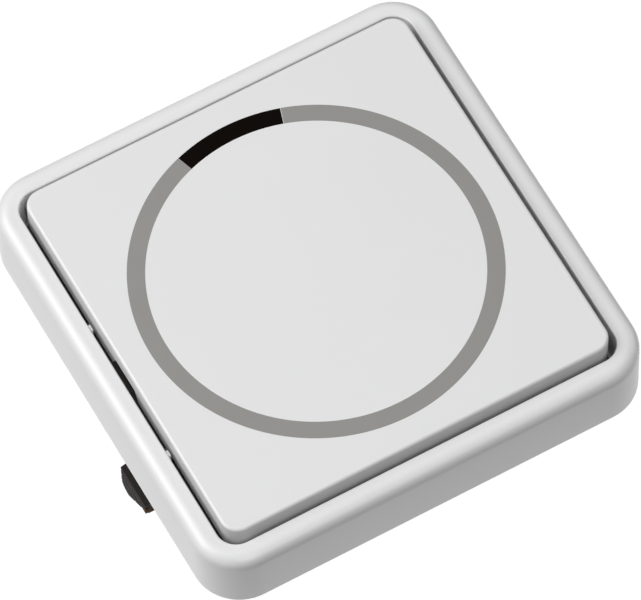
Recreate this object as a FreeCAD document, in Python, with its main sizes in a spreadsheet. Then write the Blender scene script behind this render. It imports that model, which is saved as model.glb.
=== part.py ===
import FreeCAD, Part
import math
import os
import Sketcher

V = FreeCAD.Vector
OVERCUT = 0.1
ROOT2 = math.sqrt(2)
SIDES = (1, -1)
CORNERS = [(1, 1), (-1, 1), (-1, -1), (1, -1)]

# Flush push dimmer with spreader claws. The origin lies in the wall plane, at the centre of
# the back of the support ring. +Z points out of the wall and +Y up the wall.

# Driving dimensions in millimetres, degrees or counts
SIZES = {
    # square cover frame
    "frame_width": 80.0,
    "frame_height": 12.5,
    "frame_corner": 8.0,
    "frame_edge": 2.2,
    "frame_band": 3.9,
    "opening_corner": 3.5,
    "opening_edge": 0.3,
    "frame_skin": 1.4,
    "frame_roof": 2.6,
    "frame_rib": 1.0,
    "frame_rib_place": 22.0,
    "key_upper": 9.9,
    "key_lower": 16.0,
    "key_width": 1.1,
    "key_proud": 0.5,
    "key_drop": 0.7,
    # push cover
    "cover_proud": 2.0,
    "cover_height": 5.5,
    "cover_gap": 1.1,
    "cover_corner": 3.0,
    "cover_edge": 0.5,
    "cover_skin": 1.6,
    "cover_rib": 1.0,
    "cover_rib_depth": 0.8,
    "cover_rib_place": 10.0,
    "notch_wide": 8.6,
    "notch_narrow": 6.2,
    "notch_height": 2.4,
    "notch_shift": 0.2,
    "press_travel": 1.0,
    # printed ring and arc window
    "ring_margin": 4.7,
    "ring_band": 2.95,
    "window_angle": 36.0,
    "window_flange": 0.8,
    # guides and springs of the cover
    "guide_margin": 9.5,
    "guide_radius": 1.6,
    "guide_depth": 6.9,
    "running_gap": 0.05,
    "socket_relief": 0.2,
    "socket_wall": 1.25,
    "socket_height": 6.6,
    "spring_wire": 0.5,
    "spring_gap": 0.35,
    # snap hooks of the cover
    "hook_place": 14.0,
    "hook_width": 5.0,
    "hook_thickness": 1.4,
    "hook_catch": 0.9,
    "hook_catch_height": 1.1,
    "hook_reach": 6.0,
    # steel support ring
    "plate_margin": 4.5,
    "plate_thickness": 1.2,
    "plate_corner": 2.2,
    "plate_ledge": 3.0,
    "box_screw_spacing": 60.0,
    "box_slot_length": 7.0,
    "box_slot_width": 3.8,
    "lug_place": 13.0,
    "lug_width": 1.2,
    "lug_thickness": 1.2,
    "lug_height": 6.5,
    "lug_shift": 0.6,
    "lug_inset": 0.6,
    # moulded tub behind the wall plane
    "housing_width": 50.0,
    "housing_depth": 32.0,
    "housing_chamfer": 9.7,
    "housing_wall": 1.6,
    "housing_floor": 2.0,
    "housing_lead": 1.0,
    "vent_width": 1.4,
    "vent_length": 14.0,
    "vent_pitch": 3.0,
    "vent_count": 5,
    "vent_place": -3.2,
    # screws that hold cap, ring and tub together
    "tub_screw_inset": 7.2,
    "hole_edge": 1.8,
    "tub_screw_radius": 1.2,
    "tub_screw_depth": 8.0,
    "tub_head_radius": 2.3,
    "tub_head_height": 1.4,
    "boss_wall": 1.4,
    "boss_ledge": 1.0,
    # front cap of the tub
    "cap_height": 2.8,
    "cap_skin": 1.6,
    "cap_inset": 0.4,
    "collar_depth": 2.0,
    "collar_gap": 0.2,
    "clip_side_inset": 15.5,
    "clip_inset": 3.6,
    "clip_width": 4.0,
    "clip_thickness": 1.2,
    "clip_catch": 0.8,
    "clip_catch_height": 0.6,
    "clip_flex": 0.4,
    # tray of the push module
    "tray_margin": 2.5,
    "tray_floor": 1.4,
    "tray_wall": 1.4,
    "tray_skin": 0.5,
    "tray_flange_gap": 0.8,
    "tray_flange_notch": 3.2,
    "tray_corner": 3.0,
    "tray_rim": 4.2,
    "tray_standoff": 1.0,
    "tray_service_radius": 3.4,
    # control board and what it carries
    "board_gap": 2.1,
    "board_chamfer": 13.0,
    "board_thickness": 1.2,
    "switch_width": 7.2,
    "switch_height": 2.4,
    "switch_floor": 0.3,
    "plunger_radius": 1.75,
    "plunger_proud": 1.3,
    "boss_rim": 1.6,
    "receiver_width": 6.0,
    "receiver_depth": 4.0,
    "receiver_height": 1.8,
    "receiver_lens": 1.5,
    "led_radius": 1.5,
    "led_height": 3.0,
    "chip_width": 7.0,
    "chip_height": 1.0,
    # plug connection between module and insert
    "link_x": 3.5,
    "link_transistor_gap": 1.6,
    "link_pitch": 2.54,
    "link_columns": 4,
    "link_pin": 0.64,
    "link_hole": 0.9,
    "link_length": 10.4,
    "link_depth": 5.0,
    "link_gap": 1.0,
    "link_spare_depth": 1.0,
    "link_pin_depth": 7.0,
    "link_shroud": 2.3,
    # spreader claws
    "pivot_inset": 2.0,
    "pivot_z": 2.6,
    "claw_pin_radius": 0.8,
    "claw_eye_wall": 0.8,
    "claw_width": 8.4,
    "claw_shift": 1.4,
    "claw_thickness": 1.5,
    "claw_reach": 10.7,
    "claw_tip_z": 31.4,
    "claw_tip_length": 7.2,
    "claw_tip_lift": 0.9,
    "claw_tip_foot": 2.4,
    "claw_tip_corner": 2.0,
    "claw_tip_flat": 2.2,
    "claw_tip_rise": 3.5,
    "claw_tip_heel": 1.5,
    "claw_web_spare": 3.2,
    "claw_window_top": 1.6,
    "claw_window_length": 12.4,
    "claw_teeth": 3,
    "claw_tooth_width": 0.4,
    "claw_tooth_depth": 0.5,
    "channel_width": 13.0,
    "channel_depth": 4.4,
    "cheek_depth": 1.6,
    "claw_screw_out": 1.4,
    "claw_screw_radius": 1.5,
    "claw_screw_length": 12.0,
    "claw_head_radius": 2.8,
    "claw_head_height": 2.0,
    "claw_screw_gap": 0.2,
    "slot_width": 0.8,
    "slot_depth": 0.8,
    # forms that the slotted screws share
    "screw_lead": 0.5,
    "head_chamfer": 0.4,
    # main board and its parts
    "main_board_depth": 14.2,
    "main_board_thickness": 1.6,
    "main_board_gap": 0.6,
    "core_radius": 7.6,
    "core_bore": 4.0,
    "core_height": 6.0,
    "winding_build": 0.9,
    "winding_turns": 20,
    "choke_gap": 0.6,
    "choke_y": 3.4,
    "film_length": 13.0,
    "film_width": 6.0,
    "film_height": 11.0,
    "film_wall_gap": 1.9,
    "film_fuse_gap": 4.9,
    "electrolytic_radius": 3.8,
    "electrolytic_height": 12.0,
    "electrolytic_wall_gap": 0.7,
    "electrolytic_pitch": 8.3,
    "varistor_radius": 5.2,
    "varistor_thickness": 4.0,
    "varistor_wall_gap": 3.3,
    "varistor_y": 10.8,
    "spreader_length": 24.0,
    "spreader_thickness": 1.5,
    "spreader_height": 11.6,
    "spreader_foot": 4.0,
    "spreader_gap": 1.4,
    "transistor_width": 10.0,
    "transistor_height": 6.4,
    "transistor_thickness": 4.4,
    "transistor_tab_thickness": 1.3,
    "transistor_lift": 1.5,
    "transistor_gap": 0.5,
    "fuse_length": 20.0,
    "fuse_radius": 2.5,
    "fuse_cap": 5.0,
    "fuse_clip_width": 4.0,
    "fuse_inset": 5.8,
    "fuse_lift": 4.2,
    # screw terminals
    "terminal_count": 3,
    "terminal_pitch": 9.2,
    "terminal_width": 28.0,
    "terminal_height": 10.4,
    "terminal_inset": 0.2,
    "terminal_depth": 11.8,
    "terminal_fit": 0.1,
    "cell_width": 5.7,
    "cell_wall": 2.6,
    "cell_depth": 8.0,
    "cell_floor": 2.6,
    "screw_seat": 1.8,
    "terminal_screw_inset": 5.8,
    "terminal_screw_radius": 1.25,
    "terminal_head_radius": 2.6,
    "terminal_head_height": 1.6,
    "terminal_head_gap": 0.2,
    "clamp_gap": 0.15,
    "clamp_length": 5.2,
    "clamp_height": 5.8,
    "clamp_base": 1.4,
    "clamp_roof": 1.0,
    "clamp_side": 0.9,
    "clamp_travel": 1.5,
    "bar_width": 3.0,
    "bar_thickness": 0.8,
    "bar_gap": 0.1,
    "bar_slot_gap": 0.2,
    "wire_width": 3.6,
}

doc = FreeCAD.newDocument("dimmer_switch")
sheet = doc.addObject("Spreadsheet::Sheet", "dims")
for row, (alias, value) in enumerate(SIZES.items(), 1):
    sheet.set(f"A{row}", alias)
    sheet.set(f"B{row}", str(value))
    sheet.setAlias(f"B{row}", alias)
doc.recompute()


class Size:
    """An amount worked out from the sheet: its expression and its value now."""

    def __init__(self, text, value):
        self.text = text
        self.value = value

    def __add__(self, other):
        other = size(other)
        return Size(f"({self.text} + {other.text})", self.value + other.value)

    def __sub__(self, other):
        other = size(other)
        return Size(f"({self.text} - {other.text})", self.value - other.value)

    def __mul__(self, other):
        other = size(other)
        return Size(f"({self.text} * {other.text})", self.value * other.value)

    def __truediv__(self, other):
        other = size(other)
        return Size(f"({self.text} / {other.text})", self.value / other.value)

    def __neg__(self):
        return Size(f"(-{self.text})", -self.value)

    def __radd__(self, other):
        return size(other) + self

    def __rsub__(self, other):
        return size(other) - self

    def __rmul__(self, other):
        return size(other) * self

    def __float__(self):
        return float(self.value)


def size(amount):
    return amount if isinstance(amount, Size) else Size(repr(float(amount)), float(amount))


class Dims:
    """The sheet's cells by name."""

    def __getattr__(self, name):
        return Size(f"dims.{name}", SIZES[name])


d = Dims()


def bind(thing, prop, amount):
    thing.setExpression(prop, size(amount).text)


def place(thing, x=0, y=0, z=0):
    bind(thing, "Placement.Base.x", x)
    bind(thing, "Placement.Base.y", y)
    bind(thing, "Placement.Base.z", z)


# Sketches: every point is held by its distances from the sketch's origin

def sketch(body, name, plane="XY_Plane", x=0, y=0, z=0):
    made = body.newObject("Sketcher::SketchObject", name)
    origin = [feature for feature in body.Origin.OriginFeatures if feature.Role == plane][0]
    made.AttachmentSupport = [(origin, "")]
    made.MapMode = "FlatFace"
    bind(made, "AttachmentOffset.Base.x", x)
    bind(made, "AttachmentOffset.Base.y", y)
    bind(made, "AttachmentOffset.Base.z", z)
    return made


def hold(made, kind, *where):
    amount = size(where[-1])
    index = made.addConstraint(Sketcher.Constraint(kind, *where[:-1], amount.value))
    bind(made, f"Constraints[{index}]", amount)


def hold_point(made, line, end, point):
    hold(made, "DistanceX", -1, 1, line, end, point[0])
    hold(made, "DistanceY", -1, 1, line, end, point[1])


def outline(made, points):
    """A closed run of straight lines."""
    first = made.GeometryCount
    corners = [V(float(x), float(y), 0) for x, y in points]
    for start, end in zip(corners, corners[1:] + corners[:1]):
        made.addGeometry(Part.LineSegment(start, end), False)
    for step, point in enumerate(points):
        following = first + (step + 1) % len(points)
        made.addConstraint(Sketcher.Constraint("Coincident", first + step, 2, following, 1))
        hold_point(made, first + step, 1, point)
    return made


def rounded(made, width, height, radius):
    """A rectangle with rounded corners, centred on the sketch."""
    right, top = width / 2, height / 2
    across, up = right - radius, top - radius
    ends = [(right, -up), (right, up), (across, top), (-across, top),
            (-right, up), (-right, -up), (-across, -top), (across, -top)]
    middles = [(across, up), (-across, up), (-across, -up), (across, -up)]
    first = made.GeometryCount
    for step in range(4):
        start, end = [V(float(x), float(y), 0) for x, y in ends[2 * step:2 * step + 2]]
        made.addGeometry(Part.LineSegment(start, end), False)
        centre = V(float(middles[step][0]), float(middles[step][1]), 0)
        circle = Part.Circle(centre, V(0, 0, 1), float(radius))
        turn = math.pi / 2 * step
        made.addGeometry(Part.ArcOfCircle(circle, turn, turn + math.pi / 2), False)
    for step in range(4):
        line, arc = first + 2 * step, first + 2 * step + 1
        following = first + (2 * step + 2) % 8
        hold_point(made, line, 1, ends[2 * step])
        hold_point(made, line, 2, ends[2 * step + 1])
        made.addConstraint(Sketcher.Constraint("Coincident", line, 2, arc, 1))
        made.addConstraint(Sketcher.Constraint("Coincident", arc, 2, following, 1))
        hold(made, "DistanceX", -1, 1, arc, 3, middles[step][0])
    return made


def slotted(made, length, width, x=0, y=0, upright=False):
    """A slot with round ends along the sketch's X or Y, its length given end to end."""
    reach, half = (length - width) / 2, width / 2
    x, y = size(x), size(y)
    lean = math.pi / 2 if upright else 0

    def at(along, across):
        return (x - across, y + along) if upright else (x + along, y + across)

    first = made.GeometryCount
    for side, turn in ((1, -math.pi / 2), (-1, math.pi / 2)):
        start, end, middle = [V(float(a), float(b), 0) for a, b in (
            at(-side * reach, -side * half), at(side * reach, -side * half),
            at(side * reach, size(0)))]
        made.addGeometry(Part.LineSegment(start, end), False)
        circle = Part.Circle(middle, V(0, 0, 1), float(half))
        made.addGeometry(Part.ArcOfCircle(circle, turn + lean, turn + lean + math.pi), False)
    for step, side in enumerate(SIDES):
        line, arc = first + 2 * step, first + 2 * step + 1
        following = first + (2 * step + 2) % 4
        hold_point(made, line, 1, at(-side * reach, -side * half))
        hold_point(made, line, 2, at(side * reach, -side * half))
        made.addConstraint(Sketcher.Constraint("Coincident", line, 2, arc, 1))
        made.addConstraint(Sketcher.Constraint("Coincident", arc, 2, following, 1))
        middle = at(side * reach, size(0))
        hold(made, "DistanceY" if upright else "DistanceX", -1, 1, arc, 3, middle[upright])
    return made


def ring(made, radius, x=0, y=0):
    x, y = size(x), size(y)
    circle = Part.Circle(V(float(x), float(y), 0), V(0, 0, 1), float(radius))
    index = made.addGeometry(circle, False)
    hold_point(made, index, 3, (x, y))
    hold(made, "Radius", index, radius)
    return made


def rectangle(made, width, height, x=0, y=0):
    x, y = size(x), size(y)
    half, rise = width / 2, height / 2
    return outline(made, [(x - half, y - rise), (x + half, y - rise),
                          (x + half, y + rise), (x - half, y + rise)])


def octagon(width, chamfer):
    """Corners of a square of this width with its corners cut off."""
    half = size(width) / 2
    short = half - chamfer
    return [(half, -short), (half, short), (short, half), (-short, half),
            (-half, short), (-half, -short), (-short, -half), (short, -half)]


# Features

def body(name):
    return doc.addObject("PartDesign::Body", name)


def pad(owner, profile, length, both=False, back=False):
    made = owner.newObject("PartDesign::Pad", profile.Name + "_pad")
    made.Profile = profile
    made.Midplane = both
    made.Reversed = back
    bind(made, "Length", length)
    profile.Visibility = False
    return made


def pocket(owner, profile, length, both=False, back=False):
    made = owner.newObject("PartDesign::Pocket", profile.Name + "_pocket")
    made.Profile = profile
    made.Midplane = both
    made.Reversed = back
    bind(made, "Length", length)
    return made


def turned(owner, profile, kind="PartDesign::Revolution", angle=360, both=False):
    made = owner.newObject(kind, profile.Name + "_turn")
    made.Profile = profile
    made.ReferenceAxis = (profile, ["V_Axis"])
    made.Midplane = both
    bind(made, "Angle", angle)
    return made


def polar(owner, features, count):
    made = owner.newObject("PartDesign::PolarPattern", features[0].Name + "_polar")
    made.Originals = features
    axis = [feature for feature in owner.Origin.OriginFeatures if feature.Role == "Z_Axis"][0]
    made.Axis = (axis, [""])
    made.Angle = 360
    made.Occurrences = count
    owner.Tip = made
    return made


def dressed(owner, kind, prop, amount, test):
    """A fillet or chamfer of the tip's edges whose middle passes the test."""
    doc.recompute()
    base = owner.Tip
    edges = [f"Edge{index}" for index, edge in enumerate(base.Shape.Edges, 1)
             if test(edge.CenterOfMass, edge)]
    if not edges:
        raise RuntimeError(f"no edge found for {kind} on {owner.Label}")
    made = owner.newObject(kind, f"{owner.Name}_{prop}_{len(owner.Group)}")
    made.Base = (base, edges)
    bind(made, prop, amount)
    return made


def fillet(owner, amount, test):
    return dressed(owner, "PartDesign::Fillet", "Radius", amount, test)


def chamfer(owner, amount, test):
    return dressed(owner, "PartDesign::Chamfer", "Size", amount, test)


# Part solids: a box is centred in x and y and stands at z

def box(name, width, depth, height, x=0, y=0, z=0):
    made = doc.addObject("Part::Box", name)
    bind(made, "Length", width)
    bind(made, "Width", depth)
    bind(made, "Height", height)
    place(made, size(x) - size(width) / 2, size(y) - size(depth) / 2, z)
    return made


def rod(name, radius, height, x=0, y=0, z=0, along=None):
    made = doc.addObject("Part::Cylinder", name)
    bind(made, "Radius", radius)
    bind(made, "Height", height)
    if along:
        made.Placement = FreeCAD.Placement(V(), FreeCAD.Rotation(V(0, 0, 1), along))
    place(made, x, y, z)
    return made


def fused(name, pieces):
    made = doc.addObject("Part::MultiFuse", name)
    made.Shapes = pieces
    return made


def cut(name, base, tools):
    made = doc.addObject("Part::Cut", name)
    made.Base = base
    made.Tool = tools[0] if len(tools) == 1 else fused(name + "_tools", tools)
    return made


def grouped(name, pieces):
    made = doc.addObject("Part::Compound", name)
    made.Links = pieces
    return made


# Levels above the wall plane
cap_top = d.plate_thickness + d.cap_height
tray_floor_top = cap_top + d.tray_floor
tray_top = tray_floor_top + d.tray_rim
board_bottom = tray_floor_top + d.tray_standoff
board_top = board_bottom + d.board_thickness
plunger_top = board_top + d.switch_height + d.plunger_proud
cover_top = d.frame_height + d.cover_proud
cover_bottom = cover_top - d.cover_height
cover_under = cover_top - d.cover_skin

# Levels below the wall plane
main_board_top = -d.main_board_depth
main_board_bottom = main_board_top - d.main_board_thickness
terminal_top = -d.housing_depth + d.terminal_height
shelf_top = terminal_top + d.housing_floor

# Widths and places that follow the frame
frame_opening = d.frame_width - 2 * d.frame_band
cover_width = frame_opening - 2 * d.cover_gap
plate_width = d.frame_width - 2 * d.plate_margin
tray_width = cover_width - 2 * d.tray_margin
tray_flange_width = frame_opening - 2 * d.tray_flange_gap
board_width = tray_width - 2 * d.tray_wall - 2 * d.board_gap
guide_place = cover_width / 2 - d.guide_margin
ring_outer = cover_width / 2 - d.ring_margin
ring_inner = ring_outer - d.ring_band

# Widths and places that follow the tub
tub_side = d.housing_width / 2
plate_hole = d.housing_width - 2 * d.plate_ledge
tub_screw_place = tub_side - d.tub_screw_inset
clip_x = plate_hole / 2 - d.clip_side_inset
clip_y = plate_hole / 2 - d.clip_inset
pivot_x = tub_side - d.pivot_inset
channel_floor = tub_side - d.channel_depth
channel_back = channel_floor - d.housing_wall
claw_screw_x = tub_side + d.claw_screw_out
claw_web_end = claw_screw_x + d.claw_web_spare
claw_tip_x = tub_side + d.claw_reach
terminal_front = tub_side - d.terminal_inset
terminal_back = terminal_front - d.terminal_depth
cell_front = terminal_front - d.cell_wall
cell_back = cell_front - d.cell_depth
terminal_screw_y = terminal_front - d.terminal_screw_inset
fuse_y = tub_side - d.fuse_inset
film_x = channel_back - d.film_wall_gap - d.film_length / 2
film_y = fuse_y - d.fuse_radius - d.bar_thickness - d.film_fuse_gap - d.film_width / 2
electrolytic_x = (channel_back - d.electrolytic_wall_gap - d.electrolytic_radius
                  - d.electrolytic_pitch)
choke_x = channel_back - d.choke_gap - d.winding_build - d.core_radius
varistor_x = channel_back - d.varistor_wall_gap - d.varistor_radius
spreader_y = tub_side - d.housing_wall - d.spreader_gap
link_y = (spreader_y - d.spreader_thickness - d.transistor_thickness - d.link_transistor_gap
          - d.link_depth / 2)
electrolytic_y = (link_y - d.link_depth / 2 - film_y + d.film_width / 2) / 2

tub_inner_chamfer = d.housing_chamfer - (2 - ROOT2) * d.housing_wall
plate_hole_chamfer = plate_hole - 2 * tub_screw_place + ROOT2 * (d.tub_screw_radius + d.hole_edge)
socket_radius = d.guide_radius + d.running_gap + d.socket_wall
socket_top = d.socket_height + cap_top
spring_radius = socket_radius + d.spring_gap + d.spring_wire / 2


def frame():
    """A thin moulded frame, hollow from behind, with ribs between its two walls."""
    made = body("frame")
    pad(made, rounded(sketch(made, "frame_outside"), d.frame_width, d.frame_width, d.frame_corner),
        d.frame_height)
    pocket(made, rounded(sketch(made, "frame_opening", z=d.frame_height),
                         frame_opening, frame_opening, d.opening_corner), d.frame_height)
    hollow = sketch(made, "frame_hollow")
    outer = d.frame_width - 2 * d.frame_skin
    inner = frame_opening + 2 * d.frame_skin
    rounded(hollow, outer, outer, d.frame_corner - d.frame_skin)
    rounded(hollow, inner, inner, d.opening_corner + d.frame_skin)
    pocket(made, hollow, d.frame_height - d.frame_roof, back=True)
    ribs = sketch(made, "frame_ribs", z=d.frame_skin)
    thick = (outer - inner) / 2 + d.frame_skin
    middle = (outer + inner) / 4
    for side in SIDES:
        rectangle(ribs, thick, d.frame_rib, middle, side * d.frame_rib_place)
    polar(made, [pad(made, ribs, d.frame_height - d.frame_roof)], 4)
    # ribs that the lugs of the support ring grip
    grips = sketch(made, "frame_grips", z=d.plate_thickness)
    deep = frame_opening / 2 - lug_outside - d.running_gap
    for side in SIDES:
        for end in SIDES:
            x = side * (lug_outside + d.running_gap + deep / 2 + d.frame_skin / 4)
            rectangle(grips, deep + d.frame_skin / 2, 2 * d.lug_width,
                      x, end * d.lug_place - d.lug_shift)
    pad(made, grips, d.lug_height - d.plate_thickness)
    # two ribs on the left inner wall, which show in the gap and keep the cover off that wall
    keys = sketch(made, "frame_keys", z=d.plate_thickness)
    for y in (d.key_upper, -d.key_lower):
        rectangle(keys, d.key_proud + d.frame_skin / 2, d.key_width,
                  (d.key_proud - d.frame_skin / 2 - frame_opening) / 2, y)
    pad(made, keys, d.frame_height - d.key_drop - d.plate_thickness)
    rim = float(d.frame_height)
    for amount, width in ((d.frame_edge, d.frame_width), (d.opening_edge, frame_opening)):
        fillet(made, amount, lambda at, edge: abs(at.z - rim) < 1e-4
               and reaches(edge, float(width) / 2))
    return made


def reaches(edge, half):
    """True where an end of the edge lies on a square of this half width."""
    return any(abs(max(abs(end.X), abs(end.Y)) - half) < 1e-3 for end in edge.Vertexes)


lug_outside = plate_width / 2 - d.lug_inset


def support_ring():
    """The punched steel ring: claws and box screws fix it, and its lugs grip the frame."""
    made = body("support_ring")
    pad(made, rounded(sketch(made, "plate_outside"), plate_width, plate_width, d.plate_corner),
        d.plate_thickness)
    openings = sketch(made, "plate_openings", z=d.plate_thickness)
    outline(openings, octagon(plate_hole, plate_hole_chamfer))
    for side in SIDES:
        slotted(openings, d.box_slot_length, d.box_slot_width, 0, side * d.box_screw_spacing / 2,
                upright=True)
        ring(openings, d.claw_screw_radius + d.claw_screw_gap, side * claw_screw_x, 0)
    for x, y in CORNERS:
        ring(openings, d.tub_screw_radius + d.claw_screw_gap,
             x * tub_screw_place, y * tub_screw_place)
    pocket(made, openings, d.plate_thickness)
    lugs = sketch(made, "plate_lugs", z=d.plate_thickness / 2)
    for side in SIDES:
        for end in SIDES:
            rectangle(lugs, d.lug_thickness, d.lug_width,
                      side * (lug_outside - d.lug_thickness / 2),
                      end * d.lug_place - d.lug_shift)
    pad(made, lugs, d.lug_height + d.plate_thickness / 2)
    return made


def cavity(width):
    """Outline inside the tub: cut corners and a step round each claw channel."""
    half = width / 2
    short = half - tub_inner_chamfer
    step_x = channel_back
    step_y = d.channel_width / 2 + d.housing_wall
    return [(step_x, -step_y), (step_x, step_y), (half, step_y), (half, short), (short, half),
            (-short, half), (-half, short), (-half, step_y), (-step_x, step_y),
            (-step_x, -step_y), (-half, -step_y), (-half, -short), (-short, -half),
            (short, -half), (half, -short), (half, -step_y)]


def housing():
    """The tub: cut corners to pass a round wall box, claw channels and a notch for terminals."""
    made = body("housing")
    pad(made, outline(sketch(made, "tub_outside"), octagon(d.housing_width, d.housing_chamfer)),
        d.housing_depth, back=True)
    back = -float(d.housing_depth)
    chamfer(made, d.housing_lead, lambda at, edge: abs(at.z - back) < 1e-4)
    channels = sketch(made, "tub_channels")
    deep = d.housing_width / 2 - channel_floor
    for side in SIDES:
        rectangle(channels, deep, d.channel_width, side * (channel_floor + deep / 2), 0)
    pocket(made, channels, d.housing_depth)
    notch = sketch(made, "tub_notch", z=-d.housing_depth)
    low = -d.housing_width / 2
    high = -terminal_back + d.terminal_fit
    half = d.terminal_width / 2 + d.terminal_fit
    outline(notch, [(-half, low), (half, low), (half, high), (-half, high)])
    pocket(made, notch, d.terminal_height, back=True)
    inner = d.housing_width - 2 * d.housing_wall
    pocket(made, outline(sketch(made, "tub_cavity"), cavity(inner)), -shelf_top)
    lower = sketch(made, "tub_lower_cavity", z=shelf_top)
    outline(lower, lower_cavity(inner, high + d.housing_wall))
    pocket(made, lower, d.housing_depth + shelf_top - d.housing_floor)
    for x, y in CORNERS:
        bottom = -d.housing_depth + d.housing_floor if y > 0 else shelf_top
        name = f"tub_boss_{'right' if x > 0 else 'left'}_{'top' if y > 0 else 'bottom'}"
        where = (x * tub_screw_place, y * tub_screw_place)
        radius = d.tub_screw_radius + d.boss_wall
        pad(made, ring(sketch(made, name, z=bottom), radius, *where), -bottom)
        pad(made, ring(sketch(made, name + "_ledge", z=bottom), radius + d.boss_ledge, *where),
            main_board_bottom - bottom)
    holes = sketch(made, "tub_screw_holes")
    for x, y in CORNERS:
        ring(holes, d.tub_screw_radius, x * tub_screw_place, y * tub_screw_place)
    pocket(made, holes, d.tub_screw_depth + d.plate_thickness)
    slots = sketch(made, "tub_bar_slots", z=shelf_top)
    for x in terminal_places():
        rectangle(slots, d.bar_width + 2 * d.bar_slot_gap, d.bar_thickness + 2 * d.bar_slot_gap,
                  x, bar_y)
    pocket(made, slots, d.housing_floor)
    pins = sketch(made, "tub_pin_holes", "XZ_Plane")
    for side in SIDES:
        ring(pins, d.claw_pin_radius, side * pivot_x, -d.pivot_z)
    pocket(made, pins, d.channel_width + 2 * d.cheek_depth, both=True)
    vents = sketch(made, "tub_vents", z=-d.housing_depth + d.housing_floor)
    for step in range(int(SIZES["vent_count"])):
        slotted(vents, d.vent_length, d.vent_width, 0, d.vent_place + step * d.vent_pitch)
    pocket(made, vents, d.housing_floor)
    return made


def lower_cavity(inner, front):
    """The cavity behind the terminals, on the upper side of the tub."""
    half = inner / 2
    short = half - tub_inner_chamfer
    step_x = channel_back
    step_y = d.channel_width / 2 + d.housing_wall
    return [(step_x, front), (step_x, step_y), (half, step_y), (half, short), (short, half),
            (-short, half), (-half, short), (-half, step_y), (-step_x, step_y), (-step_x, front)]


def terminal_places():
    count = int(SIZES["terminal_count"])
    return [(step - (count - 1) / 2) * d.terminal_pitch for step in range(count)]


bar_y = -cell_back - d.bar_thickness / 2 - d.bar_slot_gap


def insert_front():
    """The cap of the tub: a collar centres it in the ring, and windows take the tray's clips."""
    made = body("insert_front")
    width = d.housing_width - 2 * d.cap_inset
    pad(made, outline(sketch(made, "cap_outside", z=d.plate_thickness),
                      octagon(width, d.housing_chamfer)), d.cap_height)
    collar = plate_hole - 2 * d.collar_gap
    collar_cut = plate_hole_chamfer - (2 - ROOT2) * d.collar_gap
    pad(made, outline(sketch(made, "cap_collar", z=d.plate_thickness), octagon(collar, collar_cut)),
        d.plate_thickness + d.collar_depth, back=True)
    inside = collar - 2 * d.housing_wall
    inside_cut = collar_cut - (2 - ROOT2) * d.housing_wall
    pocket(made, outline(sketch(made, "cap_hollow", z=-d.collar_depth),
                         octagon(inside, inside_cut)),
           d.collar_depth + cap_top - d.cap_skin, back=True)
    openings = sketch(made, "cap_openings", z=cap_top)
    rectangle(openings, d.link_length + 2 * d.link_gap, d.link_depth + 2 * d.link_gap,
              d.link_x, link_y)
    for x, y in CORNERS:
        rectangle(openings, d.clip_width + 2 * d.collar_gap,
                  d.clip_thickness + d.clip_flex + d.running_gap,
                  x * clip_x, y * (clip_y - (d.clip_flex - d.running_gap) / 2))
    pocket(made, openings, d.cap_skin)
    steps = sketch(made, "cap_collar_steps")
    deep = plate_hole / 2 - channel_floor + d.housing_wall + d.collar_gap
    notches = sketch(made, "cap_head_notches", z=cap_top)
    for side in SIDES:
        rectangle(steps, deep, d.channel_width + 2 * (d.housing_wall + d.collar_gap),
                  side * (plate_hole / 2 - deep / 2), 0)
        ring(notches, d.claw_head_radius + d.collar_gap, side * claw_screw_x, 0)
    pocket(made, steps, d.collar_depth)
    pocket(made, notches, d.cap_height)
    holes = sketch(made, "cap_screw_holes", z=cap_top)
    seats = sketch(made, "cap_screw_seats", z=cap_top)
    for x, y in CORNERS:
        where = (x * tub_screw_place, y * tub_screw_place)
        ring(holes, d.tub_screw_radius + d.collar_gap, *where)
        ring(seats, d.tub_head_radius + d.collar_gap, *where)
    pocket(made, holes, d.cap_height)
    pocket(made, seats, d.tub_head_height)
    return made


def front_screws():
    screws = []
    for index, (x, y) in enumerate(CORNERS, 1):
        where = (x * tub_screw_place, y * tub_screw_place)
        head = rod(f"front_screw_head_{index}", d.tub_head_radius, d.tub_head_height, *where,
                   cap_top - d.tub_head_height)
        shank = rod(f"front_screw_shank_{index}", d.tub_screw_radius,
                    d.tub_screw_depth + cap_top - d.tub_head_height, *where, -d.tub_screw_depth)
        slot = box(f"front_screw_slot_{index}", 2 * d.tub_head_radius, d.slot_width,
                   d.slot_depth, *where, cap_top - d.slot_depth)
        screws.append(cut(f"front_screw_{index}",
                          fused(f"front_screw_solid_{index}", [head, shank]), [slot]))
    return grouped("front_screws", screws)


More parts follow.
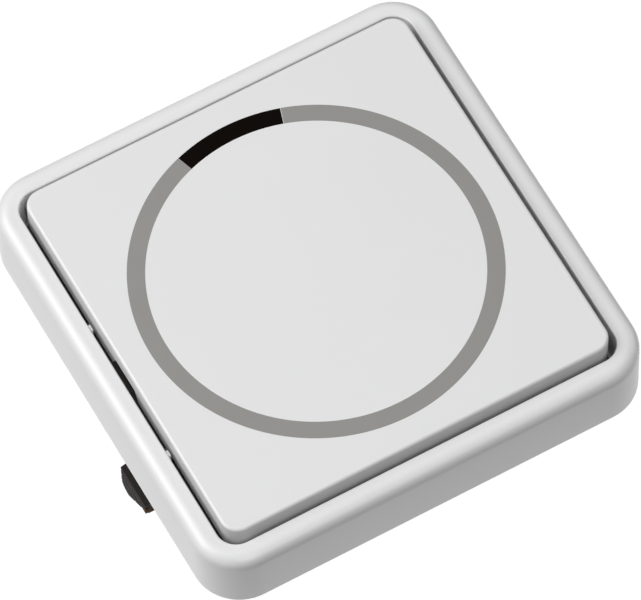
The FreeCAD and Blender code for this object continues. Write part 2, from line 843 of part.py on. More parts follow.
def module_carrier():
    """The tray of the push module: sockets for the cover's guides, clips for the cap."""
    made = body("module_carrier")
    pad(made, rounded(sketch(made, "tray_outside", z=cap_top), tray_width, tray_width,
                      d.tray_corner), d.tray_floor + d.tray_rim)
    flange = sketch(made, "tray_flange", z=cap_top)
    pad(made, rounded(flange, tray_flange_width, tray_flange_width, d.tray_corner),
        d.tray_floor)
    inner = tray_width - 2 * d.tray_wall
    pocket(made, rounded(sketch(made, "tray_inside", z=tray_top), inner, inner,
                         d.tray_corner - d.tray_wall), d.tray_rim)
    notches = sketch(made, "tray_lug_notches", z=tray_floor_top)
    outer = tray_flange_width / 2 + OVERCUT
    deep = outer - lug_outside + d.lug_thickness + d.collar_gap
    for side in SIDES:
        for end in SIDES:
            rectangle(notches, deep, d.tray_flange_notch, side * (outer - deep / 2),
                      end * d.lug_place - d.lug_shift)
    pocket(made, notches, d.tray_floor)
    sockets = sketch(made, "tray_sockets", z=tray_floor_top)
    for x, y in CORNERS:
        ring(sockets, socket_radius, x * guide_place, y * guide_place)
    pad(made, sockets, socket_top - tray_floor_top)
    posts = sketch(made, "tray_posts", z=tray_floor_top)
    stand = board_width / 2 - 2 * d.tray_wall
    for side in SIDES:
        for end in SIDES:
            ring(posts, d.tray_wall, side * stand, end * d.hook_place)
    pad(made, posts, d.tray_standoff)
    bores = sketch(made, "tray_bores", z=socket_top)
    for x, y in CORNERS:
        ring(bores, d.guide_radius + d.running_gap, x * guide_place, y * guide_place)
    pocket(made, bores, socket_top - cover_under + d.guide_depth + d.press_travel
           + d.socket_relief)
    openings = sketch(made, "tray_openings", z=tray_floor_top)
    rectangle(openings, d.link_length + 2 * d.link_gap, d.link_depth + 2 * d.link_gap,
              d.link_x, link_y)
    for side in SIDES:
        ring(openings, d.tray_service_radius, side * claw_screw_x, 0)
        slotted(openings, d.box_slot_length, d.box_slot_width, 0, side * d.box_screw_spacing / 2,
                upright=True)
    pocket(made, openings, d.tray_floor)
    windows = sketch(made, "tray_hook_windows", "XZ_Plane")
    for side in SIDES:
        window_top = hook_catch_top + d.running_gap
        window_bottom = hook_catch_top - d.hook_catch_height - d.press_travel - 2 * d.running_gap
        rectangle(windows, d.hook_width + 4 * d.collar_gap, window_top - window_bottom,
                  side * d.hook_place, (window_top + window_bottom) / 2)
    pocket(made, windows, tray_width - 2 * d.tray_skin, both=True)
    for index, (x, y) in enumerate(CORNERS, 1):
        clip = sketch(made, f"tray_clip_{index}", "YZ_Plane", z=x * clip_x)
        near = clip_y - d.clip_thickness / 2
        far = clip_y + d.clip_thickness / 2
        catch_top = cap_top - d.cap_skin
        low = catch_top - d.clip_catch_height
        outline(clip, [(y * near, cap_top), (y * near, low), (y * far, low),
                       (y * (far + d.clip_catch), catch_top), (y * far, catch_top),
                       (y * far, cap_top)][::int(y)])
        pad(made, clip, d.clip_width, both=True)
    return made


hook_catch_top = cover_under - d.hook_reach + d.hook_catch_height
hook_outside = tray_width / 2 - d.tray_wall - d.collar_gap


def control_board():
    made = body("control_board")
    plan = sketch(made, "board_plan", z=board_bottom)
    outline(plan, octagon(board_width, d.board_chamfer))
    pins(plan, d.link_pin)
    pad(made, plan, d.board_thickness)
    return made


def pins(plan, width):
    """Square holes or pins of the plug connection, in two rows."""
    count = int(SIZES["link_columns"])
    for column in range(count):
        for side in SIDES:
            rectangle(plan, width, width, d.link_x + (column - (count - 1) / 2) * d.link_pitch,
                      link_y + side * d.link_pitch / 2)
    return plan


def link_pins():
    made = body("link_pins")
    pad(made, rectangle(sketch(made, "link_shroud", z=board_bottom), d.link_length, d.link_depth,
                        d.link_x, link_y), d.link_shroud, back=True)
    low = board_bottom - d.link_shroud
    pad(made, pins(sketch(made, "link_rods", z=low - d.link_pin_depth), d.link_pin),
        board_top - low + d.link_pin_depth + d.link_pin)
    return made


def link_socket():
    """The tall socket that stands on the main board."""
    made = body("link_socket")
    top = board_bottom - d.link_shroud - d.bar_gap
    pad(made, rectangle(sketch(made, "socket_block", z=main_board_top), d.link_length,
                        d.link_depth, d.link_x, link_y), top - main_board_top)
    pocket(made, pins(sketch(made, "socket_holes", z=top), d.link_hole), d.link_pin_depth
           + d.link_spare_depth)
    return made


def micro_switch():
    made = body("micro_switch")
    pad(made, rectangle(sketch(made, "switch_case", z=board_top), d.switch_width, d.switch_width),
        d.switch_height)
    pocket(made, ring(sketch(made, "switch_bore", z=board_top + d.switch_height),
                      d.plunger_radius + d.running_gap), d.switch_height - d.switch_floor)
    return made


def switch_plunger():
    low = board_top + d.switch_floor + d.press_travel + d.running_gap
    return rod("switch_plunger", d.plunger_radius, plunger_top - low, z=low)


def ir_receiver():
    """A moulded receiver with a round lens on top, under the arc window."""
    y = board_width / 2 - d.receiver_depth / 2
    x = -d.receiver_width / 4
    case = box("receiver_case", d.receiver_width, d.receiver_depth, d.receiver_height, x, y,
               board_top)
    lens = doc.addObject("Part::Sphere", "receiver_lens")
    bind(lens, "Radius", d.receiver_lens)
    lens.Angle1 = 0
    place(lens, x, y, board_top + d.receiver_height)
    return fused("ir_receiver", [case, lens])


def status_led():
    y = board_width / 2 - d.receiver_depth / 2
    x = d.receiver_width
    stem = rod("led_stem", d.led_radius, d.led_height - d.led_radius, x, y, board_top)
    dome = doc.addObject("Part::Sphere", "led_dome")
    bind(dome, "Radius", d.led_radius)
    dome.Angle1 = 0
    place(dome, x, y, board_top + d.led_height - d.led_radius)
    flange = rod("led_flange", d.led_radius + d.bar_slot_gap, d.led_radius / 2, x, y, board_top)
    return fused("status_led", [stem, dome, flange])


def control_chip():
    return box("control_chip", d.chip_width, d.chip_width, d.chip_height,
               -2 * d.chip_width, -d.chip_width, board_top)


def cover_plate():
    """The push cover: a shallow lid with guide pins, snap hooks, ribs and an arc slot."""
    made = body("cover_plate")
    pad(made, rounded(sketch(made, "cover_outside", z=cover_bottom), cover_width, cover_width,
                      d.cover_corner), d.cover_height)
    top = float(cover_top)
    fillet(made, d.cover_edge, lambda at, edge: abs(at.z - top) < 1e-4)
    inner = cover_width - 2 * d.cover_skin
    pocket(made, rounded(sketch(made, "cover_inside", z=cover_bottom), inner, inner,
                         d.cover_corner - d.cover_skin), cover_under - cover_bottom, back=True)
    ribs = sketch(made, "cover_ribs", z=cover_under)
    for side in SIDES:
        rectangle(ribs, inner, d.cover_rib, 0, side * d.cover_rib_place)
    pad(made, ribs, d.cover_rib_depth, back=True)
    uprights = sketch(made, "cover_cross_ribs", z=cover_under)
    for side in SIDES:
        rectangle(uprights, d.cover_rib, 2 * d.cover_rib_place, side * d.cover_rib_place, 0)
    pad(made, uprights, d.cover_rib_depth, back=True)
    pad(made, ring(sketch(made, "cover_boss", z=plunger_top), d.plunger_radius + d.boss_rim),
        cover_under - plunger_top)
    guides = sketch(made, "cover_guides", z=cover_under)
    for x, y in CORNERS:
        ring(guides, d.guide_radius, x * guide_place, y * guide_place)
    pad(made, guides, d.guide_depth, back=True)
    for index, (x, y) in enumerate(CORNERS, 1):
        hook = sketch(made, f"cover_hook_{index}", "YZ_Plane", z=x * d.hook_place)
        low = hook_catch_top - d.hook_catch_height
        near = hook_outside - d.hook_thickness
        far = hook_outside
        outline(hook, [(y * near, cover_under), (y * near, low), (y * far, low),
                       (y * (far + d.hook_catch), hook_catch_top), (y * far, hook_catch_top),
                       (y * far, cover_under)][::int(y)])
        pad(made, hook, d.hook_width, both=True)
    notch = sketch(made, "cover_notch", "YZ_Plane", z=-cover_width / 2 - OVERCUT)
    wide, narrow = d.notch_wide / 2, d.notch_narrow / 2
    outline(notch, [(-wide - d.notch_shift, cover_bottom - OVERCUT),
                    (wide - d.notch_shift, cover_bottom - OVERCUT),
                    (narrow - d.notch_shift, cover_bottom + d.notch_height),
                    (-narrow - d.notch_shift, cover_bottom + d.notch_height)])
    pocket(made, notch, d.cover_skin + 2 * OVERCUT, back=True)
    slot = sketch(made, "cover_window_slot", "YZ_Plane")
    window_outline(slot)
    turned(made, slot, "PartDesign::Groove", d.window_angle, both=True)
    return made


def window_outline(made):
    """Section of the arc window: it fills the slot and rests on a wider flange beneath."""
    bottom = cover_under
    return outline(made, [(ring_inner, bottom), (ring_outer, bottom),
                          (ring_outer, cover_top), (ring_inner, cover_top)])


def ir_window():
    made = body("ir_window")
    turned(made, window_outline(sketch(made, "window_light", "YZ_Plane")),
           angle=d.window_angle, both=True)
    flange = sketch(made, "window_flange", "YZ_Plane")
    low = cover_under - d.window_flange
    inner = ring_inner - d.window_flange
    outer = ring_outer + d.window_flange / 2
    outline(flange, [(inner, low), (outer, low), (outer, cover_under), (inner, cover_under)])
    turned(made, flange, angle=d.window_angle, both=True)
    return made


def return_springs():
    """Four wound springs round the guide sockets, each as the sleeve that its turns fill."""
    springs = []
    for index, (x, y) in enumerate(CORNERS, 1):
        where = (x * guide_place, y * guide_place, tray_floor_top)
        outside, inside = [
            rod(f"spring_{name}_{index}", spring_radius + side * d.spring_wire / 2,
                cover_under - tray_floor_top, *where)
            for name, side in (("outside", 1), ("inside", -1))]
        springs.append(cut(f"return_spring_{index}", outside, [inside]))
    return grouped("return_springs", springs)


# Spreader claws, drawn for the right-hand side as they stand spread

claw_run_x = claw_tip_x - pivot_x
claw_run_z = d.claw_tip_z - d.pivot_z
claw_lean = math.atan2(float(claw_run_x), float(claw_run_z))


def claw(name, turn):
    """A pressed steel claw: web under the ring, eye on its pin, arm and toothed, slanted tip."""
    made = body(name)
    profile = sketch(made, name + "_profile", "XZ_Plane", z=-d.claw_shift)
    half = d.claw_thickness / 2
    side = half / math.cos(claw_lean)
    slope = claw_run_x / claw_run_z
    tip_top = d.claw_tip_z - d.claw_tip_length
    neck = pivot_x + (tip_top - d.pivot_z) * slope
    web = -d.pivot_z + half
    outline(profile, [
        (pivot_x, web), (claw_web_end, web), (claw_web_end, web - d.claw_thickness),
        (pivot_x + side + half * slope, web - d.claw_thickness),
        (neck + side, -tip_top), (claw_tip_x, -tip_top - d.claw_tip_lift),
        (claw_tip_x, -d.claw_tip_z), (claw_tip_x - d.claw_tip_foot, -d.claw_tip_z),
        (neck - side, -tip_top), (pivot_x - side, -d.pivot_z)])
    pad(made, profile, d.claw_width, both=True)
    bottom, wall = -float(d.claw_tip_z), float(d.claw_width) / 2
    middle = float(d.claw_shift)
    fillet(made, d.claw_tip_corner, lambda at, edge: abs(at.z - bottom) < 1e-4
           and abs(at.y - middle + wall) < 1e-4)
    slant = sketch(made, name + "_slant", "YZ_Plane", z=claw_tip_x)
    low, high = -d.claw_tip_z - OVERCUT, -d.claw_tip_z + d.claw_tip_rise
    start = d.claw_shift - d.claw_width / 2 + d.claw_tip_flat
    end = d.claw_shift + d.claw_width / 2
    outline(slant, [(start, low), (end + OVERCUT, low), (end + OVERCUT, high),
                    (end - d.claw_tip_heel, high)])
    pocket(made, slant, d.claw_thickness + d.claw_tip_foot)
    pad(made, ring(sketch(made, name + "_eye", "XZ_Plane", z=-d.claw_shift),
                   d.claw_pin_radius + d.running_gap + d.claw_eye_wall, pivot_x, -d.pivot_z),
        d.claw_width, both=True)
    pocket(made, ring(sketch(made, name + "_bore", "XZ_Plane", z=-d.claw_shift),
                      d.claw_pin_radius + d.running_gap, pivot_x, -d.pivot_z),
           d.claw_width + OVERCUT, both=True)
    reach = d.claw_screw_radius + d.claw_screw_gap
    slot = sketch(made, name + "_slot", z=-d.pivot_z + d.claw_thickness)
    lean = math.cos(claw_lean)
    lost = (claw_screw_x - pivot_x) * (1 / lean - 1) + d.claw_thickness / 2 * math.tan(claw_lean)
    inner = claw_screw_x - reach
    outer = claw_screw_x + reach + lost
    slotted(slot, outer - inner, 2 * reach, (outer + inner) / 2, 0)
    pocket(made, slot, 2 * d.claw_thickness)
    window = sketch(made, name + "_window", "YZ_Plane", z=claw_tip_x)
    top = -d.pivot_z - d.claw_window_top
    outline(window, [(-reach, top - d.claw_window_length), (reach, top - d.claw_window_length),
                     (reach, top), (-reach, top)])
    pocket(made, window, claw_tip_x - channel_floor)
    teeth = sketch(made, name + "_teeth", "YZ_Plane", z=claw_tip_x)
    count = int(SIZES["claw_teeth"])
    for step in range(count):
        z = -d.claw_tip_z + d.claw_tip_length * ((step + 1) / (count + 1))
        rectangle(teeth, d.claw_width + OVERCUT, d.claw_tooth_width, d.claw_shift, z)
    pocket(made, teeth, d.claw_tooth_depth)
    made.Placement = FreeCAD.Placement(V(), FreeCAD.Rotation(V(0, 0, 1), turn))
    return made


def claw_pins():
    pieces = []
    for side, name in ((1, "right"), (-1, "left")):
        pin = rod(f"claw_pin_{name}", d.claw_pin_radius, d.channel_width + 2 * d.cheek_depth)
        pin.Placement = FreeCAD.Placement(V(), FreeCAD.Rotation(V(1, 0, 0), 90))
        place(pin, side * pivot_x, d.channel_width / 2 + d.cheek_depth, -d.pivot_z)
        pieces.append(pin)
    return grouped("claw_pins", pieces)


def screw(name, radius, length, head_radius, head_height, x, y, z, down=False):
    """A slotted screw, its head's seat at z, drawn with its head above or below."""
    made = body(name)
    profile = sketch(made, name + "_profile", "XZ_Plane")
    tip, rim = d.screw_lead, d.head_chamfer
    outline(profile, [(0, -length), (radius - tip, -length), (radius, -length + tip), (radius, 0),
                      (head_radius, 0), (head_radius, head_height - rim),
                      (head_radius - rim, head_height), (0, head_height)])
    turned(made, profile)
    pocket(made, rectangle(sketch(made, name + "_slot", z=head_height), 2 * head_radius + OVERCUT,
                           d.slot_width), d.slot_depth)
    if down:
        made.Placement = FreeCAD.Placement(V(), FreeCAD.Rotation(V(1, 0, 0), 180))
    place(made, x, y, z)
    return made


def main_board():
    made = body("main_board")
    plan = sketch(made, "main_plan", z=main_board_bottom)
    inner = d.housing_width - 2 * d.housing_wall - 2 * d.main_board_gap
    boss = d.tub_screw_radius + d.boss_wall + d.main_board_gap / 2
    reach = 2 * tub_screw_place - ROOT2 * boss
    outline(plan, octagon(inner, inner - reach))
    for x in terminal_places():
        rectangle(plan, d.bar_width + d.bar_slot_gap, d.bar_thickness + d.bar_slot_gap, x, bar_y)
    pad(made, plan, d.main_board_thickness)
    steps = sketch(made, "main_steps", z=main_board_top)
    deep = d.housing_width / 2 - channel_floor + d.housing_wall + d.main_board_gap
    for side in SIDES:
        rectangle(steps, deep, d.channel_width + 2 * (d.housing_wall + d.main_board_gap),
                  side * (d.housing_width / 2 - deep / 2), 0)
    pocket(made, steps, d.main_board_thickness)
    return made


def choke():
    """A ring core lying on the board, with its winding as a snug jacket with wire grooves."""
    low = main_board_top + d.winding_build
    x, y = -choke_x, -d.choke_y
    core = cut("choke_core", rod("core_outside", d.core_radius, d.core_height, x, y, low),
               [rod("core_bore", d.core_bore, d.core_height, x, y, low)])
    made = body("choke_winding")
    profile = sketch(made, "winding_section", "XZ_Plane")
    wound = d.winding_build
    inner, outer, high = d.core_bore, d.core_radius, d.core_height
    outline(profile, [(inner - wound, -wound), (outer + wound, -wound),
                      (outer + wound, high + wound), (inner - wound, high + wound)])
    outline(profile, [(inner, 0), (outer, 0), (outer, high), (inner, high)])
    turned(made, profile)
    groove = sketch(made, "winding_groove", z=-wound)
    rectangle(groove, wound, wound / 2, outer + wound, 0)
    cuts = pocket(made, groove, high + 2 * wound, back=True)
    polar(made, [cuts], int(SIZES["winding_turns"]))
    place(made, x, y, low)
    return core, made


def power_parts():
    film = box("filter_capacitor", d.film_length, d.film_width, d.film_height,
               film_x, -film_y, main_board_top)
    cans = []
    for step in range(2):
        x = electrolytic_x + step * d.electrolytic_pitch
        can = rod(f"electrolytic_{step + 1}", d.electrolytic_radius, d.electrolytic_height,
                  x, electrolytic_y, main_board_top)
        cans.append(can)
    disc = doc.addObject("Part::Cylinder", "varistor")
    bind(disc, "Radius", d.varistor_radius)
    bind(disc, "Height", d.varistor_thickness)
    disc.Placement = FreeCAD.Placement(V(), FreeCAD.Rotation(V(1, 0, 0), 90))
    place(disc, -varistor_x, d.varistor_y + d.varistor_thickness / 2,
          main_board_top + d.varistor_radius)
    return film, grouped("electrolytic_capacitors", cans), disc


def heat_spreader():
    made = body("heat_spreader")
    profile = sketch(made, "spreader_profile", "YZ_Plane")
    back, front = spreader_y, spreader_y - d.spreader_thickness
    low, high = main_board_top, main_board_top + d.spreader_height
    foot = front - d.spreader_foot
    outline(profile, [(foot, low), (back, low), (back, high), (front, high),
                      (front, low + d.spreader_thickness), (foot, low + d.spreader_thickness)])
    pad(made, profile, d.spreader_length, both=True)
    notch = sketch(made, "spreader_notch", z=low + d.spreader_thickness)
    rectangle(notch, d.transistor_width + 2 * d.transistor_gap, 2 * d.spreader_foot, 0, foot)
    pocket(made, notch, d.spreader_thickness)
    return made


def power_transistor():
    face = spreader_y - d.spreader_thickness
    low = main_board_top + d.spreader_thickness + d.transistor_lift
    tab_y = face - d.transistor_tab_thickness / 2
    case = box("transistor_case", d.transistor_width, d.transistor_thickness, d.transistor_height,
               0, face - d.transistor_thickness / 2, low)
    top = d.spreader_height - d.spreader_thickness - d.transistor_lift
    tab = box("transistor_tab", d.transistor_width, d.transistor_tab_thickness, top, 0, tab_y, low)
    thin = d.transistor_tab_thickness / 2
    legs = [box(f"transistor_leg_{step + 2}", thin, thin, low - main_board_top,
                step * d.link_pitch, face - d.transistor_thickness / 2, main_board_top)
            for step in (-1, 0, 1)]
    return fused("power_transistor", [case, tab] + legs)


def fuse_parts():
    y, z = -fuse_y, main_board_top + d.fuse_lift
    glass = doc.addObject("Part::Cylinder", "fuse")
    bind(glass, "Radius", d.fuse_radius)
    bind(glass, "Height", d.fuse_length)
    glass.Placement = FreeCAD.Placement(V(), FreeCAD.Rotation(V(0, 1, 0), 90))
    place(glass, -d.fuse_length / 2, y, z)
    clips = []
    width = 2 * (d.fuse_radius + d.bar_thickness)
    for index, side in enumerate(SIDES, 1):
        x = side * (d.fuse_length - d.fuse_cap) / 2
        block = box(f"fuse_clip_block_{index}", d.fuse_clip_width, width,
                    d.fuse_lift + d.fuse_radius / 2, x, y, main_board_top)
        hole = doc.addObject("Part::Cylinder", f"fuse_clip_hole_{index}")
        bind(hole, "Radius", d.fuse_radius)
        bind(hole, "Height", d.fuse_cap)
        hole.Placement = FreeCAD.Placement(V(), FreeCAD.Rotation(V(0, 1, 0), 90))
        place(hole, x - d.fuse_cap / 2, y, z)
        clips.append(cut(f"fuse_clip_{index}", block, [hole]))
    return glass, grouped("fuse_clips", clips)


# Screw terminals: a cage rises toward the screw's head and pulls the wire against a fixed bar

terminal_low = -d.housing_depth
cell_bottom = terminal_low + d.cell_floor
clamp_low = cell_bottom + d.clamp_travel + d.clamp_gap
bar_low = clamp_low + d.clamp_base + d.bar_gap


def terminal_block():
    made = body("terminal_block")
    deep = terminal_front - terminal_back
    middle = -(terminal_front + terminal_back) / 2
    pad(made, rectangle(sketch(made, "block_outside", z=terminal_low), d.terminal_width, deep,
                        0, middle), d.terminal_height)
    cells = sketch(made, "block_cells", z=terminal_top)
    seats = sketch(made, "block_seats", z=terminal_low)
    holes = sketch(made, "block_holes", z=terminal_low)
    entries = sketch(made, "block_entries", "XZ_Plane", z=terminal_front)
    entry_low = bar_low + d.bar_thickness
    entry_high = clamp_low + d.clamp_height - d.clamp_roof
    for x in terminal_places():
        rectangle(cells, d.cell_width, cell_front - cell_back, x,
                  -(cell_front + cell_back) / 2)
        ring(seats, d.terminal_head_radius + d.terminal_head_gap, x, -terminal_screw_y)
        ring(holes, d.terminal_screw_radius + d.terminal_head_gap, x, -terminal_screw_y)
        rectangle(entries, d.wire_width, entry_high - entry_low, x, (entry_high + entry_low) / 2)
    pocket(made, cells, d.terminal_height - d.cell_floor)
    pocket(made, seats, d.screw_seat, back=True)
    pocket(made, holes, d.cell_floor + OVERCUT, back=True)
    pocket(made, entries, terminal_front - cell_front + OVERCUT)
    return made


def terminal_contacts():
    """Bent strips from the clamps up to the main board."""
    bars = []
    front = -cell_front + d.bar_slot_gap
    back = bar_y + d.bar_thickness / 2
    for index, x in enumerate(terminal_places(), 1):
        flat = box(f"bar_flat_{index}", d.bar_width, back - front, d.bar_thickness,
                   x, (back + front) / 2, bar_low)
        riser = box(f"bar_riser_{index}", d.bar_width, d.bar_thickness, main_board_top - bar_low,
                    x, bar_y, bar_low)
        bars.append(fused(f"bar_{index}", [flat, riser]))
    return grouped("terminal_contacts", bars)


def terminal_screw(index, x):
    seat = terminal_low + d.screw_seat
    length = bar_low - seat - d.running_gap
    return screw(f"terminal_screw_{index}", d.terminal_screw_radius, length,
                 d.terminal_head_radius, d.terminal_head_height, x, -terminal_screw_y, seat,
                 down=True)


def terminal_clamp(index, x):
    """The cage: a threaded base, two sides and the roof that pulls on the wire."""
    made = body(f"terminal_clamp_{index}")
    width = d.cell_width - 2 * d.clamp_gap
    name = made.Name
    pad(made, rectangle(sketch(made, name + "_block"), width, d.clamp_length), d.clamp_height)
    inside = d.clamp_height - d.clamp_base - d.clamp_roof
    mouth = sketch(made, name + "_mouth", "XZ_Plane")
    rectangle(mouth, width - 2 * d.clamp_side, inside, 0, d.clamp_base + inside / 2)
    pocket(made, mouth, d.clamp_length + OVERCUT, both=True)
    pocket(made, ring(sketch(made, name + "_thread", z=d.clamp_base),
                      d.terminal_screw_radius + d.running_gap), d.clamp_base + OVERCUT)
    place(made, x, -terminal_screw_y, clamp_low)
    return made


core, winding = choke()
film, cans, disc = power_parts()
fuse, clips = fuse_parts()
nodes = [frame(), support_ring(), housing(), insert_front(), front_screws(), module_carrier(),
         control_board(), control_chip(), ir_receiver(), status_led(), micro_switch(),
         switch_plunger(), link_pins(), link_socket(), cover_plate(), ir_window(),
         return_springs(), claw("claw_right", 0), claw("claw_left", 180), claw_pins(),
         main_board(), core, winding, film, cans, disc, heat_spreader(), power_transistor(),
         fuse, clips, terminal_block(), terminal_contacts()]
for name, side in (("claw_screw_right", 1), ("claw_screw_left", -1)):
    nodes.append(screw(name, d.claw_screw_radius, d.claw_screw_length, d.claw_head_radius,
                       d.claw_head_height, side * claw_screw_x, 0, d.plate_thickness))
for number, across in enumerate(terminal_places(), 1):
    nodes.append(terminal_screw(number, across))
    nodes.append(terminal_clamp(number, across))

doc.recompute()
for thing in doc.Objects:
    if {"Invalid", "Error"} & set(thing.State):
        raise RuntimeError(f"{thing.Label} failed: {thing.State}")
os.makedirs("parts", exist_ok=True)
for node in nodes:
    if node.Shape.isNull() or not node.Shape.isValid():
        raise RuntimeError(f"{node.Label} has no valid shape")
    node.Shape.exportStep(f"parts/{node.Label}.step")
    print(node.Label, len(node.Shape.Solids), round(node.Shape.Volume, 1))
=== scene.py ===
import math

import bmesh
import bpy
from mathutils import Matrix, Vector


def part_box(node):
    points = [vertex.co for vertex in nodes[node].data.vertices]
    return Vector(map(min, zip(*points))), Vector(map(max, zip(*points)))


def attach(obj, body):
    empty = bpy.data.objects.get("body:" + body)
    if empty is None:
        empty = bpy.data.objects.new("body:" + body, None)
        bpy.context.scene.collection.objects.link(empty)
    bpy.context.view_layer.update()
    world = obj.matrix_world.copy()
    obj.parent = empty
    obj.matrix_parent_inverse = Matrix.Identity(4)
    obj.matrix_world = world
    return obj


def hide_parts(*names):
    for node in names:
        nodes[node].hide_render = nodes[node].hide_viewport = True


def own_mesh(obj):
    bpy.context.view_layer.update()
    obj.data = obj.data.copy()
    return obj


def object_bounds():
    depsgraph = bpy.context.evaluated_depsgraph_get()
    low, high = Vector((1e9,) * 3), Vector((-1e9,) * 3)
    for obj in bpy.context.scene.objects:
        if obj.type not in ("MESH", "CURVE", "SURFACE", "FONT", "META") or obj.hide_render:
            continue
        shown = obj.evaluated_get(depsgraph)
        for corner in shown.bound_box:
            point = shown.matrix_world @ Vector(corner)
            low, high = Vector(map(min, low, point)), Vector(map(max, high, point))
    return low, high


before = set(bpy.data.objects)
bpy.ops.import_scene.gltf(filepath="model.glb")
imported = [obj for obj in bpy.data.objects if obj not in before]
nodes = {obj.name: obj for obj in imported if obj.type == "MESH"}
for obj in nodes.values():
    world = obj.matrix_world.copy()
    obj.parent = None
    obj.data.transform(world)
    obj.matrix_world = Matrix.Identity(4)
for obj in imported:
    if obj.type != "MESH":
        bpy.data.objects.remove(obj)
cadBox = [list(corner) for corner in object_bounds()]
stage = bpy.context.scene
mm = 0.001
print("frame loaded:", len(nodes), "nodes")


# Node trees are written with these two classes, for materials and for geometry alike

class Wire:                                     # a socket that takes part in sums
    def __init__(self, graph, socket):
        self.graph = graph
        self.socket = socket

    def maths(self, operation, *values):
        return self.graph.wire("ShaderNodeMath", {"operation": operation},
                               dict(enumerate(values)))

    def __add__(self, other):
        return self.maths("ADD", self, other)

    def __sub__(self, other):
        return self.maths("SUBTRACT", self, other)

    def __rsub__(self, other):
        return self.maths("SUBTRACT", other, self)

    def __mul__(self, other):
        return self.maths("MULTIPLY", self, other)

    def __truediv__(self, other):
        return self.maths("DIVIDE", self, other)

    def __gt__(self, other):
        return self.maths("GREATER_THAN", self, other)

    def sine(self):
        return self.maths("SINE", self)

    def cosine(self):
        return self.maths("COSINE", self)

    def size(self):
        return self.maths("ABSOLUTE", self)

    def clipped(self):
        return self.graph.wire("ShaderNodeClamp", feeds={0: self})

    __radd__ = __add__


class Graph:                                    # a node tree being built
    def __init__(self, tree):
        self.tree = tree

    def add(self, kind, settings=None, feeds=None):
        node = self.tree.nodes.new(kind)
        for name, value in (settings or {}).items():
            setattr(node, name, value)
        for name, value in (feeds or {}).items():
            if isinstance(value, Wire):
                self.tree.links.new(value.socket, node.inputs[name])
            else:
                node.inputs[name].default_value = value
        return node

    def wire(self, kind, settings=None, feeds=None, out=0):
        return Wire(self, self.add(kind, settings, feeds).outputs[out])

    def noise(self, vector, scale, detail=2.0, rough=0.5):
        return self.wire("ShaderNodeTexNoise", feeds={"Vector": vector, "Scale": scale,
                                                      "Detail": detail, "Roughness": rough})

    def colours(self, factor, first, second):
        return self.wire("ShaderNodeMix", {"data_type": "RGBA"},
                         {0: factor, 6: first, 7: second}, out=2)


def newMaterial(name, colour, roughness, **more):
    material = bpy.data.materials.new(name)
    material.use_nodes = True
    material.node_tree.nodes.clear()
    graph = Graph(material.node_tree)
    shader = graph.add("ShaderNodeBsdfPrincipled")
    shader.inputs["Base Color"].default_value = shade(colour)
    shader.inputs["Roughness"].default_value = roughness
    for socket, value in more.items():
        shader.inputs[socket.replace("_", " ")].default_value = value
    graph.add("ShaderNodeOutputMaterial", feeds={0: Wire(graph, shader.outputs[0])})
    place = graph.wire("ShaderNodeTexCoord", out="Object")
    return material, graph, shader, place


def shade(colour):
    return (*colour, 1.0)


def link(graph, shader, **feeds):
    for socket, wire in feeds.items():
        graph.tree.links.new(wire.socket, shader.inputs[socket.replace("_", " ")])


def stretched(graph, place, scale, turn=(0, 0, 0)):
    return graph.wire("ShaderNodeMapping", feeds={0: place, "Scale": scale, "Rotation": turn})


def parts(graph, place):                        # x, y and z of a point, in metres
    node = graph.add("ShaderNodeSeparateXYZ", feeds={0: place})
    return [Wire(graph, output) for output in node.outputs]


def bumped(graph, shader, height, distance, strength=1.0):
    link(graph, shader, Normal=graph.wire("ShaderNodeBump", feeds={
        "Strength": strength, "Distance": distance, "Height": height}))


def dress(material, *names):
    for name in names:
        for slot in nodes[name].material_slots:
            slot.material = material


# Mouldings

glassIor = 1.5                                  # also taken for white plastic and solder mask
whitePlastic = {"frame": (0.715, 0.715, 0.718), "cover": (0.70, 0.70, 0.702),
                "plunger": (0.72, 0.71, 0.68), "mottle": 0.006, "roughness": 0.36,
                "plungerRoughness": 0.45, "smoothest": -0.04, "flow": 60, "flowRough": 0.05,
                "grain": 5200, "grainRough": 0.03, "grainHeight": 0.004 * mm, "bump": 0.5}


def whiteMoulding(name, colour, roughness):
    size = whitePlastic
    material, graph, shader, place = newMaterial(name, colour, roughness, IOR=glassIor)
    flow = graph.noise(place, size["flow"], detail=3.0)
    grain = graph.noise(place, size["grain"], rough=0.6)
    paler = [channel + size["mottle"] for channel in colour]
    darker = [channel - size["mottle"] for channel in colour]
    link(graph, shader, Base_Color=graph.colours(flow, shade(darker), shade(paler)),
         Roughness=(roughness + size["smoothest"] + flow * size["flowRough"]
                    + grain * size["grainRough"]))
    bumped(graph, shader, grain, size["grainHeight"], size["bump"])
    return material


dress(whiteMoulding("whiteFrame", whitePlastic["frame"], whitePlastic["roughness"]), "frame")
dress(whiteMoulding("whiteCover", whitePlastic["cover"], whitePlastic["roughness"]), "cover_plate")
dress(whiteMoulding("whitePlunger", whitePlastic["plunger"], whitePlastic["plungerRoughness"]),
      "switch_plunger")


blackMoulding = {"colour": (0.018, 0.0165, 0.0155), "paler": (0.034, 0.031, 0.029),
                 "ior": 1.48, "roughness": 0.5, "smoothest": 0.42, "flow": 130, "grain": 3600,
                 "grainRough": 0.2, "grainHeight": 0.02 * mm, "bump": 0.6,
                 "trayPaintedLight": 6.0, "socketLighter": 0.8, "terminalLighter": 1.5,
                 "chipLighter": 0.9}


